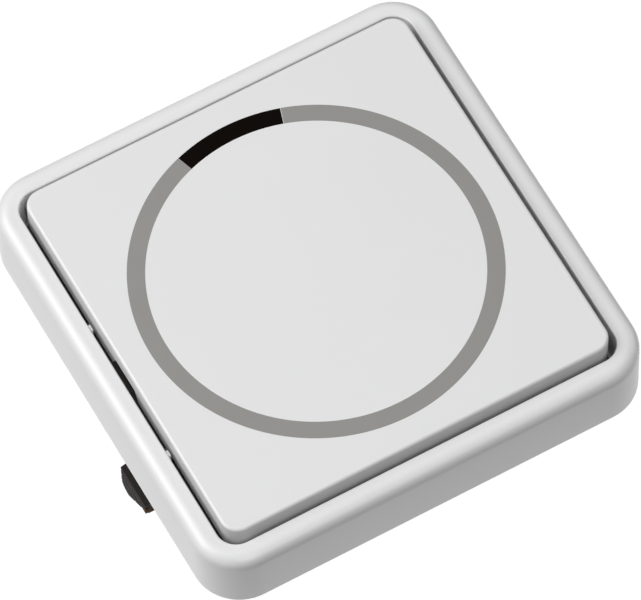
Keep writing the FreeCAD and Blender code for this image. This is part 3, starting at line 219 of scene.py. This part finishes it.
def blackPlastic(name, lighter=1.0):
    size = blackMoulding
    colour = [channel * lighter for channel in size["colour"]]
    paler = [channel * lighter for channel in size["paler"]]
    material, graph, shader, place = newMaterial(name, colour, size["roughness"],
                                                 IOR=size["ior"])
    grain = graph.noise(place, size["grain"], detail=3.0, rough=0.6)
    flow = graph.noise(place, size["flow"], detail=4.0)
    link(graph, shader, Base_Color=graph.colours(flow, shade(colour), shade(paler)),
         Roughness=size["smoothest"] + grain * size["grainRough"])
    bumped(graph, shader, grain, size["grainHeight"], size["bump"])
    return material


dress(blackPlastic("blackHousing"), "housing", "insert_front")
# The tray's colour is made paler than the black plastic as painted light, to brighten the deep gap
# round the cover.
dress(blackPlastic("blackTrayPaintedLight", blackMoulding["trayPaintedLight"]), "module_carrier")
dress(blackPlastic("blackSocket", blackMoulding["socketLighter"]), "link_socket")
dress(blackPlastic("terminalPlastic", blackMoulding["terminalLighter"]), "terminal_block")
dress(blackPlastic("chipPlastic", blackMoulding["chipLighter"]), "control_chip", "micro_switch",
      "power_transistor")


windowPlastic = {"colour": (0.0028, 0.0011, 0.0004), "roughness": 0.16, "shine": 0.16,
                 "smoothest": -0.03, "wave": 240, "waveRough": 0.06, "waveHeight": 0.01 * mm,
                 "bump": 0.3}


def filterPlastic():
    size = windowPlastic
    material, graph, shader, place = newMaterial("darkFilter", size["colour"], size["roughness"],
                                                 Specular_IOR_Level=size["shine"])
    wave = graph.noise(place, size["wave"])
    link(graph, shader,
         Roughness=size["roughness"] + size["smoothest"] + wave * size["waveRough"])
    bumped(graph, shader, wave, size["waveHeight"], size["bump"])
    return material


dress(filterPlastic(), "ir_window", "ir_receiver")

# Metals

metalFinish = {"smoothest": -0.06, "lineRough": 0.14, "lineHeight": 0.006 * mm, "bump": 0.5,
               "spot": 420, "spotRough": 0.06}
metals = {
    "zincSteel": {"colour": (0.60, 0.585, 0.54), "tint": (0.55, 0.55, 0.50),
                  "roughness": 0.32, "brush": (60, 2600, 900)},
    "springSteel": {"colour": (0.5, 0.5, 0.51), "tint": (0.42, 0.42, 0.44),
                    "roughness": 0.24, "brush": (900, 900, 90)},
    "brass": {"colour": (0.68, 0.50, 0.24), "tint": (0.60, 0.43, 0.20),
              "roughness": 0.3, "brush": (200, 1800, 900)},
    "goldPlate": {"colour": (0.78, 0.58, 0.26), "tint": (0.74, 0.54, 0.24),
                  "roughness": 0.22, "brush": (900, 900, 120)},
    "aluminium": {"colour": (0.70, 0.70, 0.71), "tint": (0.62, 0.62, 0.64),
                  "roughness": 0.34, "brush": (1600, 160, 1600)}}


def brushedMetal(name, colour, tint, roughness, brush):
    size = metalFinish
    material, graph, shader, place = newMaterial(name, colour, roughness, Metallic=1.0)
    lines = graph.noise(stretched(graph, place, brush), 1.0, detail=3.0, rough=0.6)
    spots = graph.noise(place, size["spot"], detail=4.0, rough=0.6)
    link(graph, shader, Base_Color=graph.colours(spots, shade(colour), shade(tint)),
         Roughness=(roughness + size["smoothest"] + lines * size["lineRough"]
                    + spots * size["spotRough"]))
    bumped(graph, shader, lines, size["lineHeight"], size["bump"])
    return material


zincPlate, springSteel, brassPlate, goldPlate, aluminium = [
    brushedMetal(name, **looks) for name, looks in metals.items()]
dress(zincPlate, "support_ring", "front_screws", "claw_pins", "claw_screw_left",
      "claw_screw_right", *[f"terminal_screw_{index}" for index in (1, 2, 3)],
      *[f"terminal_clamp_{index}" for index in (1, 2, 3)])
dress(brassPlate, "fuse_clips", "terminal_contacts")
dress(goldPlate, "link_pins")
dress(aluminium, "heat_spreader")


# Claw steel: the near-black colour is partly a dark steel finish and partly painted shade,
# darkened for the shadow the claws lie in under the frame; the rust and worn streaks are the
# metal's own.
blackSteelPaintedShade = {"colour": (0.0095, 0.0072, 0.006), "worn": (0.022, 0.0175, 0.0148),
              "wornFrom": 0.45, "wornContrast": 3.0, "shine": 0.1, "roughness": 0.58,
              "smoothest": -0.1, "lines": (300, 4200, 700), "lean": math.radians(34),
              "lineRough": 0.2, "lineHeight": 0.02 * mm, "bump": 0.6, "wear": 900,
              "rust": (0.10, 0.042, 0.012), "rustPlace": (-35.4 * mm, -5.3 * mm, -27.9 * mm),
              "rustReach": 1.35 * mm, "rustSolid": 1.35, "rustRagged": 1.6, "rustRough": 0.2}


def clawSteel():
    size = blackSteelPaintedShade
    material, graph, shader, place = newMaterial("darkSteelPaintedShade", size["colour"],
                                                 size["roughness"],
                                                 Specular_IOR_Level=size["shine"])
    leaning = stretched(graph, place, size["lines"], (size["lean"], 0, 0))
    lines = graph.noise(leaning, 1.0, detail=3.0, rough=0.7)
    wear = graph.noise(place, size["wear"], detail=4.0, rough=0.6)
    away = graph.wire("ShaderNodeVectorMath", {"operation": "DISTANCE"},
                      {0: place, 1: size["rustPlace"]}, "Value")
    rust = (size["rustSolid"] - away / size["rustReach"]
            + (wear - 0.5) * size["rustRagged"]).clipped()
    worn = ((lines - size["wornFrom"]) * size["wornContrast"]).clipped()
    steel = graph.colours(worn, shade(size["colour"]), shade(size["worn"]))
    link(graph, shader, Base_Color=graph.colours(rust, steel, shade(size["rust"])),
         Roughness=(size["roughness"] + size["smoothest"] + lines * size["lineRough"]
                    + rust * size["rustRough"]))
    bumped(graph, shader, lines, size["lineHeight"], size["bump"])
    return material


dress(clawSteel(), "claw_left", "claw_right")

# Electronics

board = {"mask": (0.016, 0.075, 0.032), "track": (0.03, 0.135, 0.055), "roughness": 0.32,
         "pitch": 420, "spread": 0.75, "rings": 9.0, "contrast": 4.0, "trackHeight": 0.03 * mm,
         "bump": 0.4, "weave": 2600, "smoothest": 0.28, "weaveRough": 0.14}


def circuitBoard():
    size = board
    material, graph, shader, place = newMaterial("circuitBoard", size["mask"],
                                                 size["roughness"], IOR=glassIor)
    tracks = graph.wire("ShaderNodeTexVoronoi", {"distance": "CHEBYCHEV", "feature": "F1"},
                        {"Vector": place, "Scale": size["pitch"], "Randomness": size["spread"]},
                        "Distance")
    weave = graph.noise(place, size["weave"])
    mask = ((tracks * size["rings"]).sine() * size["contrast"]).clipped()
    link(graph, shader, Base_Color=graph.colours(mask, shade(size["mask"]), shade(size["track"])),
         Roughness=size["smoothest"] + weave * size["weaveRough"])
    bumped(graph, shader, mask, size["trackHeight"], size["bump"])
    return material


dress(circuitBoard(), "control_board", "main_board")


ferrite = {"colour": (0.05, 0.05, 0.052), "darker": (0.03, 0.03, 0.031),
           "paler": (0.085, 0.085, 0.088), "roughness": 0.7, "grain": 2400, "smoothest": 0.55,
           "grainRough": 0.3, "grainHeight": 0.04 * mm, "bump": 0.7}
enamel = {"colour": (0.48, 0.14, 0.045), "darker": (0.40, 0.10, 0.032),
          "paler": (0.56, 0.18, 0.06), "roughness": 0.28, "metallic": 0.85, "coat": 0.6,
          "coatRoughness": 0.12, "tone": 900, "smoothest": 0.22, "toneRough": 0.14}
lacquer = {"coat": 0.4, "flow": 320, "smoothest": -0.05, "flowRough": 0.12,
           "flowHeight": 0.12 * mm, "bump": 0.6,
           "film": {"colour": (0.62, 0.40, 0.06), "darker": (0.55, 0.34, 0.045),
                    "roughness": 0.36},
           "blue": {"colour": (0.02, 0.085, 0.30), "darker": (0.014, 0.06, 0.24),
                    "roughness": 0.3}}
lens = {"tint": (0.86, 0.9, 0.88), "roughness": 0.05, "clear": 0.85, "haze": 1100,
        "hazeRough": 0.06}
can = {"sleeve": (0.018, 0.022, 0.05), "stripe": (0.42, 0.43, 0.45),
       "metal": (0.72, 0.72, 0.73), "lip": 0.35 * mm, "stripeStart": 0.72, "roughness": 0.35,
       "dents": 700, "smoothest": 0.3, "dentRough": 0.12}
fuseTube = {"glass": (0.9, 0.93, 0.93), "roughness": 0.04, "clear": 0.9,
            "cap": (0.62, 0.60, 0.55), "capRoughness": 0.25, "capStart": 5.2 * mm}


def sintered():
    size = ferrite
    material, graph, shader, place = newMaterial("ferrite", size["colour"], size["roughness"])
    grain = graph.noise(place, size["grain"], detail=5.0, rough=0.7)
    link(graph, shader,
         Base_Color=graph.colours(grain, shade(size["darker"]), shade(size["paler"])),
         Roughness=size["smoothest"] + grain * size["grainRough"])
    bumped(graph, shader, grain, size["grainHeight"], size["bump"])
    return material


def enamelled():
    size = enamel
    material, graph, shader, place = newMaterial(
        "copperWire", size["colour"], size["roughness"], Metallic=size["metallic"],
        Coat_Weight=size["coat"], Coat_Roughness=size["coatRoughness"])
    tone = graph.noise(place, size["tone"], detail=3.0)
    link(graph, shader,
         Base_Color=graph.colours(tone, shade(size["darker"]), shade(size["paler"])),
         Roughness=size["smoothest"] + tone * size["toneRough"])
    return material


def dipped(name, colour, darker, roughness):    # resin or lacquer, thick and a little uneven
    size = lacquer
    material, graph, shader, place = newMaterial(name, colour, roughness,
                                                 Coat_Weight=size["coat"])
    flow = graph.noise(place, size["flow"], detail=3.0)
    link(graph, shader, Base_Color=graph.colours(flow, shade(darker), shade(colour)),
         Roughness=roughness + size["smoothest"] + flow * size["flowRough"])
    bumped(graph, shader, flow, size["flowHeight"], size["bump"])
    return material


def clearLens():
    size = lens
    material, graph, shader, place = newMaterial("ledLens", size["tint"], size["roughness"],
                                                 IOR=glassIor, Transmission_Weight=size["clear"])
    haze = graph.noise(place, size["haze"])
    link(graph, shader, Roughness=size["roughness"] + haze * size["hazeRough"])
    return material


def canSleeve():                                # shrunk sleeve, pale stripe, bare metal on top
    size = can
    low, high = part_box("electrolytic_capacitors")
    radius = (high.y - low.y) / 2
    middle = (high.y + low.y) / 2
    material, graph, shader, place = newMaterial("canSleeve", size["sleeve"], size["roughness"])
    along, height = parts(graph, place)[1:]
    top = height > high.z - size["lip"]
    stripe = along > middle + radius * size["stripeStart"]
    dents = graph.noise(place, size["dents"], detail=3.0)
    sleeve = graph.colours(stripe, shade(size["sleeve"]), shade(size["stripe"]))
    link(graph, shader, Base_Color=graph.colours(top, sleeve, shade(size["metal"])),
         Metallic=top, Roughness=size["smoothest"] + dents * size["dentRough"])
    return material


def mixedOut(graph, factor, first, second):     # the factor picks between two shader outputs
    mixed = graph.wire("ShaderNodeMixShader", feeds={
        0: factor, 1: Wire(graph, first.outputs[0]), 2: Wire(graph, second.outputs[0])})
    output = [node for node in graph.tree.nodes if node.type == "OUTPUT_MATERIAL"][0]
    graph.tree.links.new(mixed.socket, output.inputs[0])


def fuseGlass():                                # clear in the middle, with a brass cap at each end
    size = fuseTube
    material, graph, shader, place = newMaterial("fuseGlass", size["glass"], size["roughness"],
                                                 IOR=glassIor, Transmission_Weight=size["clear"])
    metal = graph.add("ShaderNodeBsdfPrincipled", feeds={
        "Base Color": shade(size["cap"]), "Metallic": 1.0, "Roughness": size["capRoughness"]})
    across = parts(graph, place)[0]
    mixedOut(graph, across.size() > size["capStart"], shader, metal)
    return material


dress(canSleeve(), "electrolytic_capacitors")
dress(sintered(), "choke_core")
copperWire = enamelled()
dress(copperWire, "choke_winding")
dress(dipped("filmCase", **lacquer["film"]), "filter_capacitor")
dress(dipped("varistorBlue", **lacquer["blue"]), "varistor")
dress(clearLens(), "status_led")
dress(fuseGlass(), "fuse")
print("materials on every frame node")


# Pieces made here

def linked(name, mesh):
    piece = bpy.data.objects.new(name, mesh)
    stage.collection.objects.link(piece)
    return piece


def finished(piece, body, material=None):
    if material:
        piece.data.materials.clear()
        piece.data.materials.append(material)
    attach(piece, body)
    return piece


# The printed ring: a thin grey band from one end of the arc window almost to the other

ring = {"inner": 27.35 * mm, "outer": 30.3 * mm, "windowAngle": 36.0, "lightGap": 0.14,
        "proud": 0.008 * mm, "sunk": 0.02 * mm, "steps": 320, "colour": (0.235, 0.231, 0.221),
        "paler": (0.265, 0.261, 0.250), "roughness": 0.5, "smoothest": -0.05, "dots": 4200,
        "dotRough": 0.1, "flow": 180}


def printInk():
    material, graph, shader, place = newMaterial("greyPrint", ring["colour"], ring["roughness"])
    dots = graph.noise(place, ring["dots"], rough=0.6)
    flow = graph.noise(place, ring["flow"], detail=3.0)
    tone = dots * 0.5 + flow * 0.5
    link(graph, shader,
         Base_Color=graph.colours(tone, shade(ring["colour"]), shade(ring["paler"])),
         Roughness=ring["roughness"] + ring["smoothest"] + dots * ring["dotRough"])
    return material


def printedRing():
    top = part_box("cover_plate")[1].z
    start = math.radians(90 + ring["windowAngle"] / 2)
    sweep = math.radians(360 - ring["windowAngle"] - ring["lightGap"])
    section = ((ring["inner"], top - ring["sunk"]), (ring["outer"], top - ring["sunk"]),
               (ring["outer"], top + ring["proud"]), (ring["inner"], top + ring["proud"]))
    shape = bmesh.new()
    rows = []
    for step in range(ring["steps"] + 1):
        turn = start + sweep * step / ring["steps"]
        rows.append([shape.verts.new((radius * math.cos(turn), radius * math.sin(turn), height))
                     for radius, height in section])
    for first, second in zip(rows, rows[1:]):
        for side in range(len(section)):
            following = (side + 1) % len(section)
            shape.faces.new((first[side], first[following], second[following], second[side]))
    shape.faces.new(rows[0])
    shape.faces.new(rows[-1])
    bmesh.ops.recalc_face_normals(shape, faces=shape.faces)
    mesh = bpy.data.meshes.new("printedRing")
    shape.to_mesh(mesh)
    return finished(linked("printedRing", mesh), "cover", printInk())


printedRing()
print("printed ring on the cover")


# Wound pieces: one tree makes springs and the ridges of screw threads at given points

def newTree(name, sizes):
    tree = bpy.data.node_groups.new(name, "GeometryNodeTree")
    tree.interface.new_socket("Geometry", in_out="INPUT", socket_type="NodeSocketGeometry")
    for label, kind in sizes.items():
        tree.interface.new_socket(label, in_out="INPUT", socket_type="NodeSocket" + kind)
    tree.interface.new_socket("Geometry", in_out="OUTPUT", socket_type="NodeSocketGeometry")
    graph = Graph(tree)
    given = graph.add("NodeGroupInput")
    wires = {output.name: Wire(graph, output) for output in given.outputs if output.name}
    return tree, graph, wires


def closeTree(graph, shape, material):
    real = graph.wire("GeometryNodeRealizeInstances", feeds={0: shape})
    coloured = graph.wire("GeometryNodeSetMaterial", feeds={0: real, "Material": material})
    graph.add("NodeGroupOutput", feeds={0: coloured})


def grown(name, points, tree, values):
    seed = bpy.data.meshes.new(name + "Points")
    seed.from_pydata(points, [], [])
    piece = linked(name, seed)
    modifier = piece.modifiers.new("shape", "NODES")
    modifier.node_group = tree
    for item in tree.interface.items_tree:
        if item.in_out == "INPUT" and item.name in values:
            modifier[item.identifier] = values[item.name]
    bpy.context.view_layer.update()
    ready = piece.evaluated_get(bpy.context.evaluated_depsgraph_get())
    mesh = bpy.data.meshes.new_from_object(ready)
    piece.modifiers.remove(modifier)
    piece.data = mesh
    mesh.shade_smooth()
    return piece


def coilTree():
    tree, graph, size = newTree("coilAtPoints", {
        "Radius": "Float", "Wire": "Float", "Turns": "Float", "Rise": "Float", "Sides": "Int",
        "Steps": "Int", "Material": "Material"})
    spiral = graph.wire("GeometryNodeCurveSpiral", feeds={
        "Resolution": size["Steps"], "Rotations": size["Turns"], "Start Radius": size["Radius"],
        "End Radius": size["Radius"], "Height": size["Rise"]})
    section = graph.wire("GeometryNodeCurvePrimitiveCircle", feeds={
        "Resolution": size["Sides"], "Radius": size["Wire"]})
    tube = graph.wire("GeometryNodeCurveToMesh", feeds={
        0: spiral, "Profile Curve": section, "Fill Caps": True})
    copies = graph.wire("GeometryNodeInstanceOnPoints", feeds={
        0: size["Geometry"], "Instance": tube})
    closeTree(graph, copies, size["Material"])
    return tree


coils = coilTree()
springs = {"turns": 5.5, "wire": 0.25 * mm, "steps": 40, "sides": 12, "squeezed": 1.0 * mm,
           "guide": 25.5 * mm}                  # guide: a spring's distance from both mid lines


def returnSprings():
    low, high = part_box("return_springs")
    guide = springs["guide"]
    middle = high.x - (high.x + low.x) / 2 - guide - springs["wire"]
    rise = high.z - low.z - 2 * springs["wire"]
    points = [(x * guide, y * guide, low.z + springs["wire"]) for x in (1, -1) for y in (1, -1)]
    piece = grown("springCoils", points, coils, {
        "Radius": middle, "Wire": springs["wire"], "Turns": springs["turns"], "Rise": rise,
        "Sides": springs["sides"], "Steps": springs["steps"], "Material": springSteel})
    finished(piece, "base")
    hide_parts("return_springs")
    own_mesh(piece)


returnSprings()

threads = {"ridge": 0.16 * mm, "pitch": 0.5 * mm, "sides": 3, "steps": 24, "spare": 0.5 * mm,
           "claw": {"place": 26.4 * mm, "radius": 1.39 * mm, "top": 1.0 * mm},
           "terminal": {"pitch": 9.2 * mm, "place": -19 * mm, "radius": 1.12 * mm,
                        "low": -30.0 * mm}}


def thread(name, body, x, y, low, high, radius):
    length = high - low - 2 * threads["ridge"]
    piece = grown(name, [(x, y, low + threads["ridge"])], coils, {
        "Radius": radius, "Wire": threads["ridge"], "Turns": length / threads["pitch"],
        "Rise": length, "Sides": threads["sides"], "Steps": threads["steps"],
        "Material": zincPlate})
    finished(piece, body)


def screwThreads():
    claw, terminal = threads["claw"], threads["terminal"]
    for side, name in ((1, "Right"), (-1, "Left")):
        screw = f"claw_screw_{name.lower()}"
        thread(f"clawThread{name}", screw, side * claw["place"], 0,
               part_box(screw)[0].z + threads["spare"], claw["top"], claw["radius"])
    for index in (1, 2, 3):
        screw = f"terminal_screw_{index}"
        thread(f"terminalThread{index}", screw, (index - 2) * terminal["pitch"],
               terminal["place"], terminal["low"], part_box(screw)[1].z - threads["spare"],
               terminal["radius"])


screwThreads()
print("springs and threads wound")


# The choke's winding: one wire wound round and round the ring core

winding = {"turns": 34, "wire": 0.33 * mm, "centre": (-9.9 * mm, -3.4 * mm), "share": 0.93,
           "perTurn": 16, "sides": 8, "coreHole": 4.0 * mm, "clear": 0.08 * mm}


def windingTree():
    tree, graph, size = newTree("woundRing", {
        "Middle": "Float", "Half Width": "Float", "Half Height": "Float", "Level": "Float",
        "Turns": "Float", "Share": "Float", "Wire": "Float", "Count": "Int", "Sides": "Int",
        "Centre": "Vector", "Material": "Material"})
    line = graph.wire("GeometryNodeCurvePrimitiveLine")
    points = graph.wire("GeometryNodeResampleCurve", feeds={0: line, "Count": size["Count"]})
    along = graph.wire("GeometryNodeSplineParameter", out="Factor")
    way = along * (size["Share"] * (2 * math.pi))
    twist = along * (size["Turns"] * (2 * math.pi))
    reach = size["Middle"] + twist.cosine() * size["Half Width"]
    place = graph.wire("ShaderNodeCombineXYZ", feeds={
        0: reach * way.cosine(), 1: reach * way.sine(),
        2: size["Level"] + twist.sine() * size["Half Height"]})
    shifted = graph.wire("ShaderNodeVectorMath", {"operation": "ADD"},
                         {0: place, 1: size["Centre"]})
    bent = graph.wire("GeometryNodeSetPosition", feeds={0: points, "Position": shifted})
    section = graph.wire("GeometryNodeCurvePrimitiveCircle", feeds={
        "Resolution": size["Sides"], "Radius": size["Wire"]})
    tube = graph.wire("GeometryNodeCurveToMesh", feeds={
        0: bent, "Profile Curve": section, "Fill Caps": True})
    closeTree(graph, tube, size["Material"])
    return tree


def chokeWinding():
    low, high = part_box("choke_core")
    outer = (high.x - low.x) / 2
    inner = winding["coreHole"]
    gap = winding["wire"] + winding["clear"]
    piece = grown("chokeWire", [(0, 0, 0)], windingTree(), {
        "Middle": (outer + inner) / 2, "Half Width": (outer - inner) / 2 + gap,
        "Half Height": (high.z - low.z) / 2 + gap, "Level": (high.z + low.z) / 2,
        "Turns": float(winding["turns"]), "Share": winding["share"], "Wire": winding["wire"],
        "Count": winding["turns"] * winding["perTurn"], "Sides": winding["sides"],
        "Centre": (*winding["centre"], 0), "Material": copperWire})
    finished(piece, "base")
    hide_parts("choke_winding")


chokeWinding()
print("choke wound")


# Small parts of the two boards: soldered joints below, chip parts above

joint = {"radius": 0.75 * mm, "height": 0.7 * mm, "sides": 14, "rows": 5, "tip": 0.3}
chipPart = {"length": 1.6 * mm, "width": 0.8 * mm, "height": 0.45 * mm, "cap": 0.3 * mm,
            "capHeight": 0.96, "bodyWidth": 1.04,
            "places": [(-14, 6), (-11, 6), (-14, 2), (-11, 2), (-14, -13), (-11, -13), (-8, -13),
                       (-5, -13), (8, -10), (11, -10), (14, -10), (8, -14), (11, -14), (13, 4),
                       (16, 4), (13, 8), (16, 8)]}


def jointTree():
    tree, graph, size = newTree("solderJoints", {
        "Radius": "Float", "Height": "Float", "Sides": "Int", "Material": "Material"})
    cone = graph.wire("GeometryNodeMeshCone", feeds={
        "Vertices": size["Sides"], "Side Segments": joint["rows"],
        "Radius Top": size["Radius"] * joint["tip"], "Radius Bottom": size["Radius"],
        "Depth": size["Height"]})
    turned = graph.wire("GeometryNodeTransform", feeds={0: cone, "Rotation": (math.pi, 0, 0)})
    copies = graph.wire("GeometryNodeInstanceOnPoints", feeds={
        0: size["Geometry"], "Instance": turned})
    closeTree(graph, copies, size["Material"])
    return tree


def chipTree():
    tree, graph, size = newTree("chipParts", {
        "Length": "Float", "Width": "Float", "Height": "Float", "Material": "Material"})
    block = graph.wire("GeometryNodeMeshCube", feeds={"Size": graph.wire(
        "ShaderNodeCombineXYZ", feeds={0: size["Length"], 1: size["Width"], 2: size["Height"]})})
    raised = graph.wire("GeometryNodeTransform", feeds={0: block, "Translation": graph.wire(
        "ShaderNodeCombineXYZ", feeds={2: size["Height"] * 0.5})})
    copies = graph.wire("GeometryNodeInstanceOnPoints", feeds={
        0: size["Geometry"], "Instance": raised})
    closeTree(graph, copies, size["Material"])
    return tree


def solderJoints():
    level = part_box("main_board")[0].z - joint["height"]
    places = []
    for name in ("filter_capacitor", "varistor", "choke_core", "electrolytic_capacitors",
                 "fuse_clips", "power_transistor"):
        low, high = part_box(name)
        inward = (high.x - low.x) / 4
        for x in (low.x + inward, high.x - inward):
            places.append((x, (low.y + high.y) / 2, level))
    piece = grown("solderJoints", places, jointTree(), {
        "Radius": joint["radius"], "Height": joint["height"], "Sides": joint["sides"],
        "Material": springSteel})
    finished(piece, "base")


def chipParts():
    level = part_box("control_board")[1].z
    places = [(x * mm, y * mm, level) for x, y in chipPart["places"]]
    caps = {"Length": chipPart["length"], "Width": chipPart["width"],
            "Height": chipPart["height"] * chipPart["capHeight"], "Material": springSteel}
    finished(grown("chipCaps", places, chipTree(), caps), "base")
    bodies = {"Length": chipPart["length"] - 2 * chipPart["cap"],
              "Width": chipPart["width"] * chipPart["bodyWidth"], "Height": chipPart["height"],
              "Material": bpy.data.materials["ferrite"]}
    finished(grown("chipBodies", places, chipTree(), bodies), "base")


solderJoints()
chipParts()
print("small parts on the boards")


# Studio

studio = {"floorGlow": 1.0, "floorColour": (0.0, 0.0, 0.0), "floorRoughness": 0.9,
          "floorDrop": 0.5 * mm, "floorMiddle": (0.015, 0.03), "floorSpread": 0.1,
          "worldShade": (0.154, 0.154, 0.155),
          "lights": {"leftLight": {"place": (-0.78, 0.5, 0.85), "size": 0.9, "power": 15.0},
                     "frontLight": {"place": (-0.05, -0.77, 0.98), "size": 0.5, "power": 4.4},
                     "topLight": {"place": (0.05, 0.2, 1.25), "size": 0.7, "power": 1.8},
                     "rightLight": {"place": (1.2, 0.0, 0.4), "size": 0.7, "power": 2.9}}}
camera = {"place": (-0.29647, -0.57201, 1.20781), "turn": (28.144, 0.899, -29.126), "lens": 476.4,
          "sensor": 36.0, "shift": (-0.00016, 0.00062), "near": 0.01}


def floor():                                    # white from above, clear from below
    level = cadBox[0][2] - studio["floorDrop"]
    half = studio["floorSpread"]
    x, y = studio["floorMiddle"]
    corners = [(x + across * half, y + along * half, level)
               for across, along in ((-1, -1), (1, -1), (1, 1), (-1, 1))]
    mesh = bpy.data.meshes.new("floor")
    mesh.from_pydata(corners, [], [(0, 1, 2, 3)])
    material, graph, shader, _ = newMaterial(
        "paleFloor", studio["floorColour"], studio["floorRoughness"],
        Emission_Color=shade((1.0, 1.0, 1.0)), Emission_Strength=studio["floorGlow"])
    back = graph.wire("ShaderNodeNewGeometry", out="Backfacing")
    mixedOut(graph, back, shader, graph.add("ShaderNodeBsdfTransparent"))
    mesh.materials.append(material)
    linked("floor", mesh)


def softLight(name, size):
    light = bpy.data.lights.new(name, "AREA")
    light.size = size["size"]
    light.energy = size["power"]
    lamp = linked(name, light)
    lamp.location = size["place"]
    lamp.rotation_euler = (-Vector(size["place"])).to_track_quat("-Z", "Y").to_euler()
    lamp.visible_camera = False


floor()
for name, size in studio["lights"].items():
    softLight(name, size)
world = bpy.data.worlds.new("room")
world.use_nodes = True
world.node_tree.nodes["Background"].inputs[0].default_value = shade(studio["worldShade"])
stage.world = world
view = bpy.data.cameras.new("camera")
view.lens = camera["lens"]
view.sensor_width = camera["sensor"]
view.shift_x, view.shift_y = camera["shift"]
view.clip_start = camera["near"]
eye = linked("camera", view)
eye.location = camera["place"]
eye.rotation_euler = [math.radians(angle) for angle in camera["turn"]]
stage.camera = eye
stage.view_settings.view_transform = "Standard"
print("studio set")
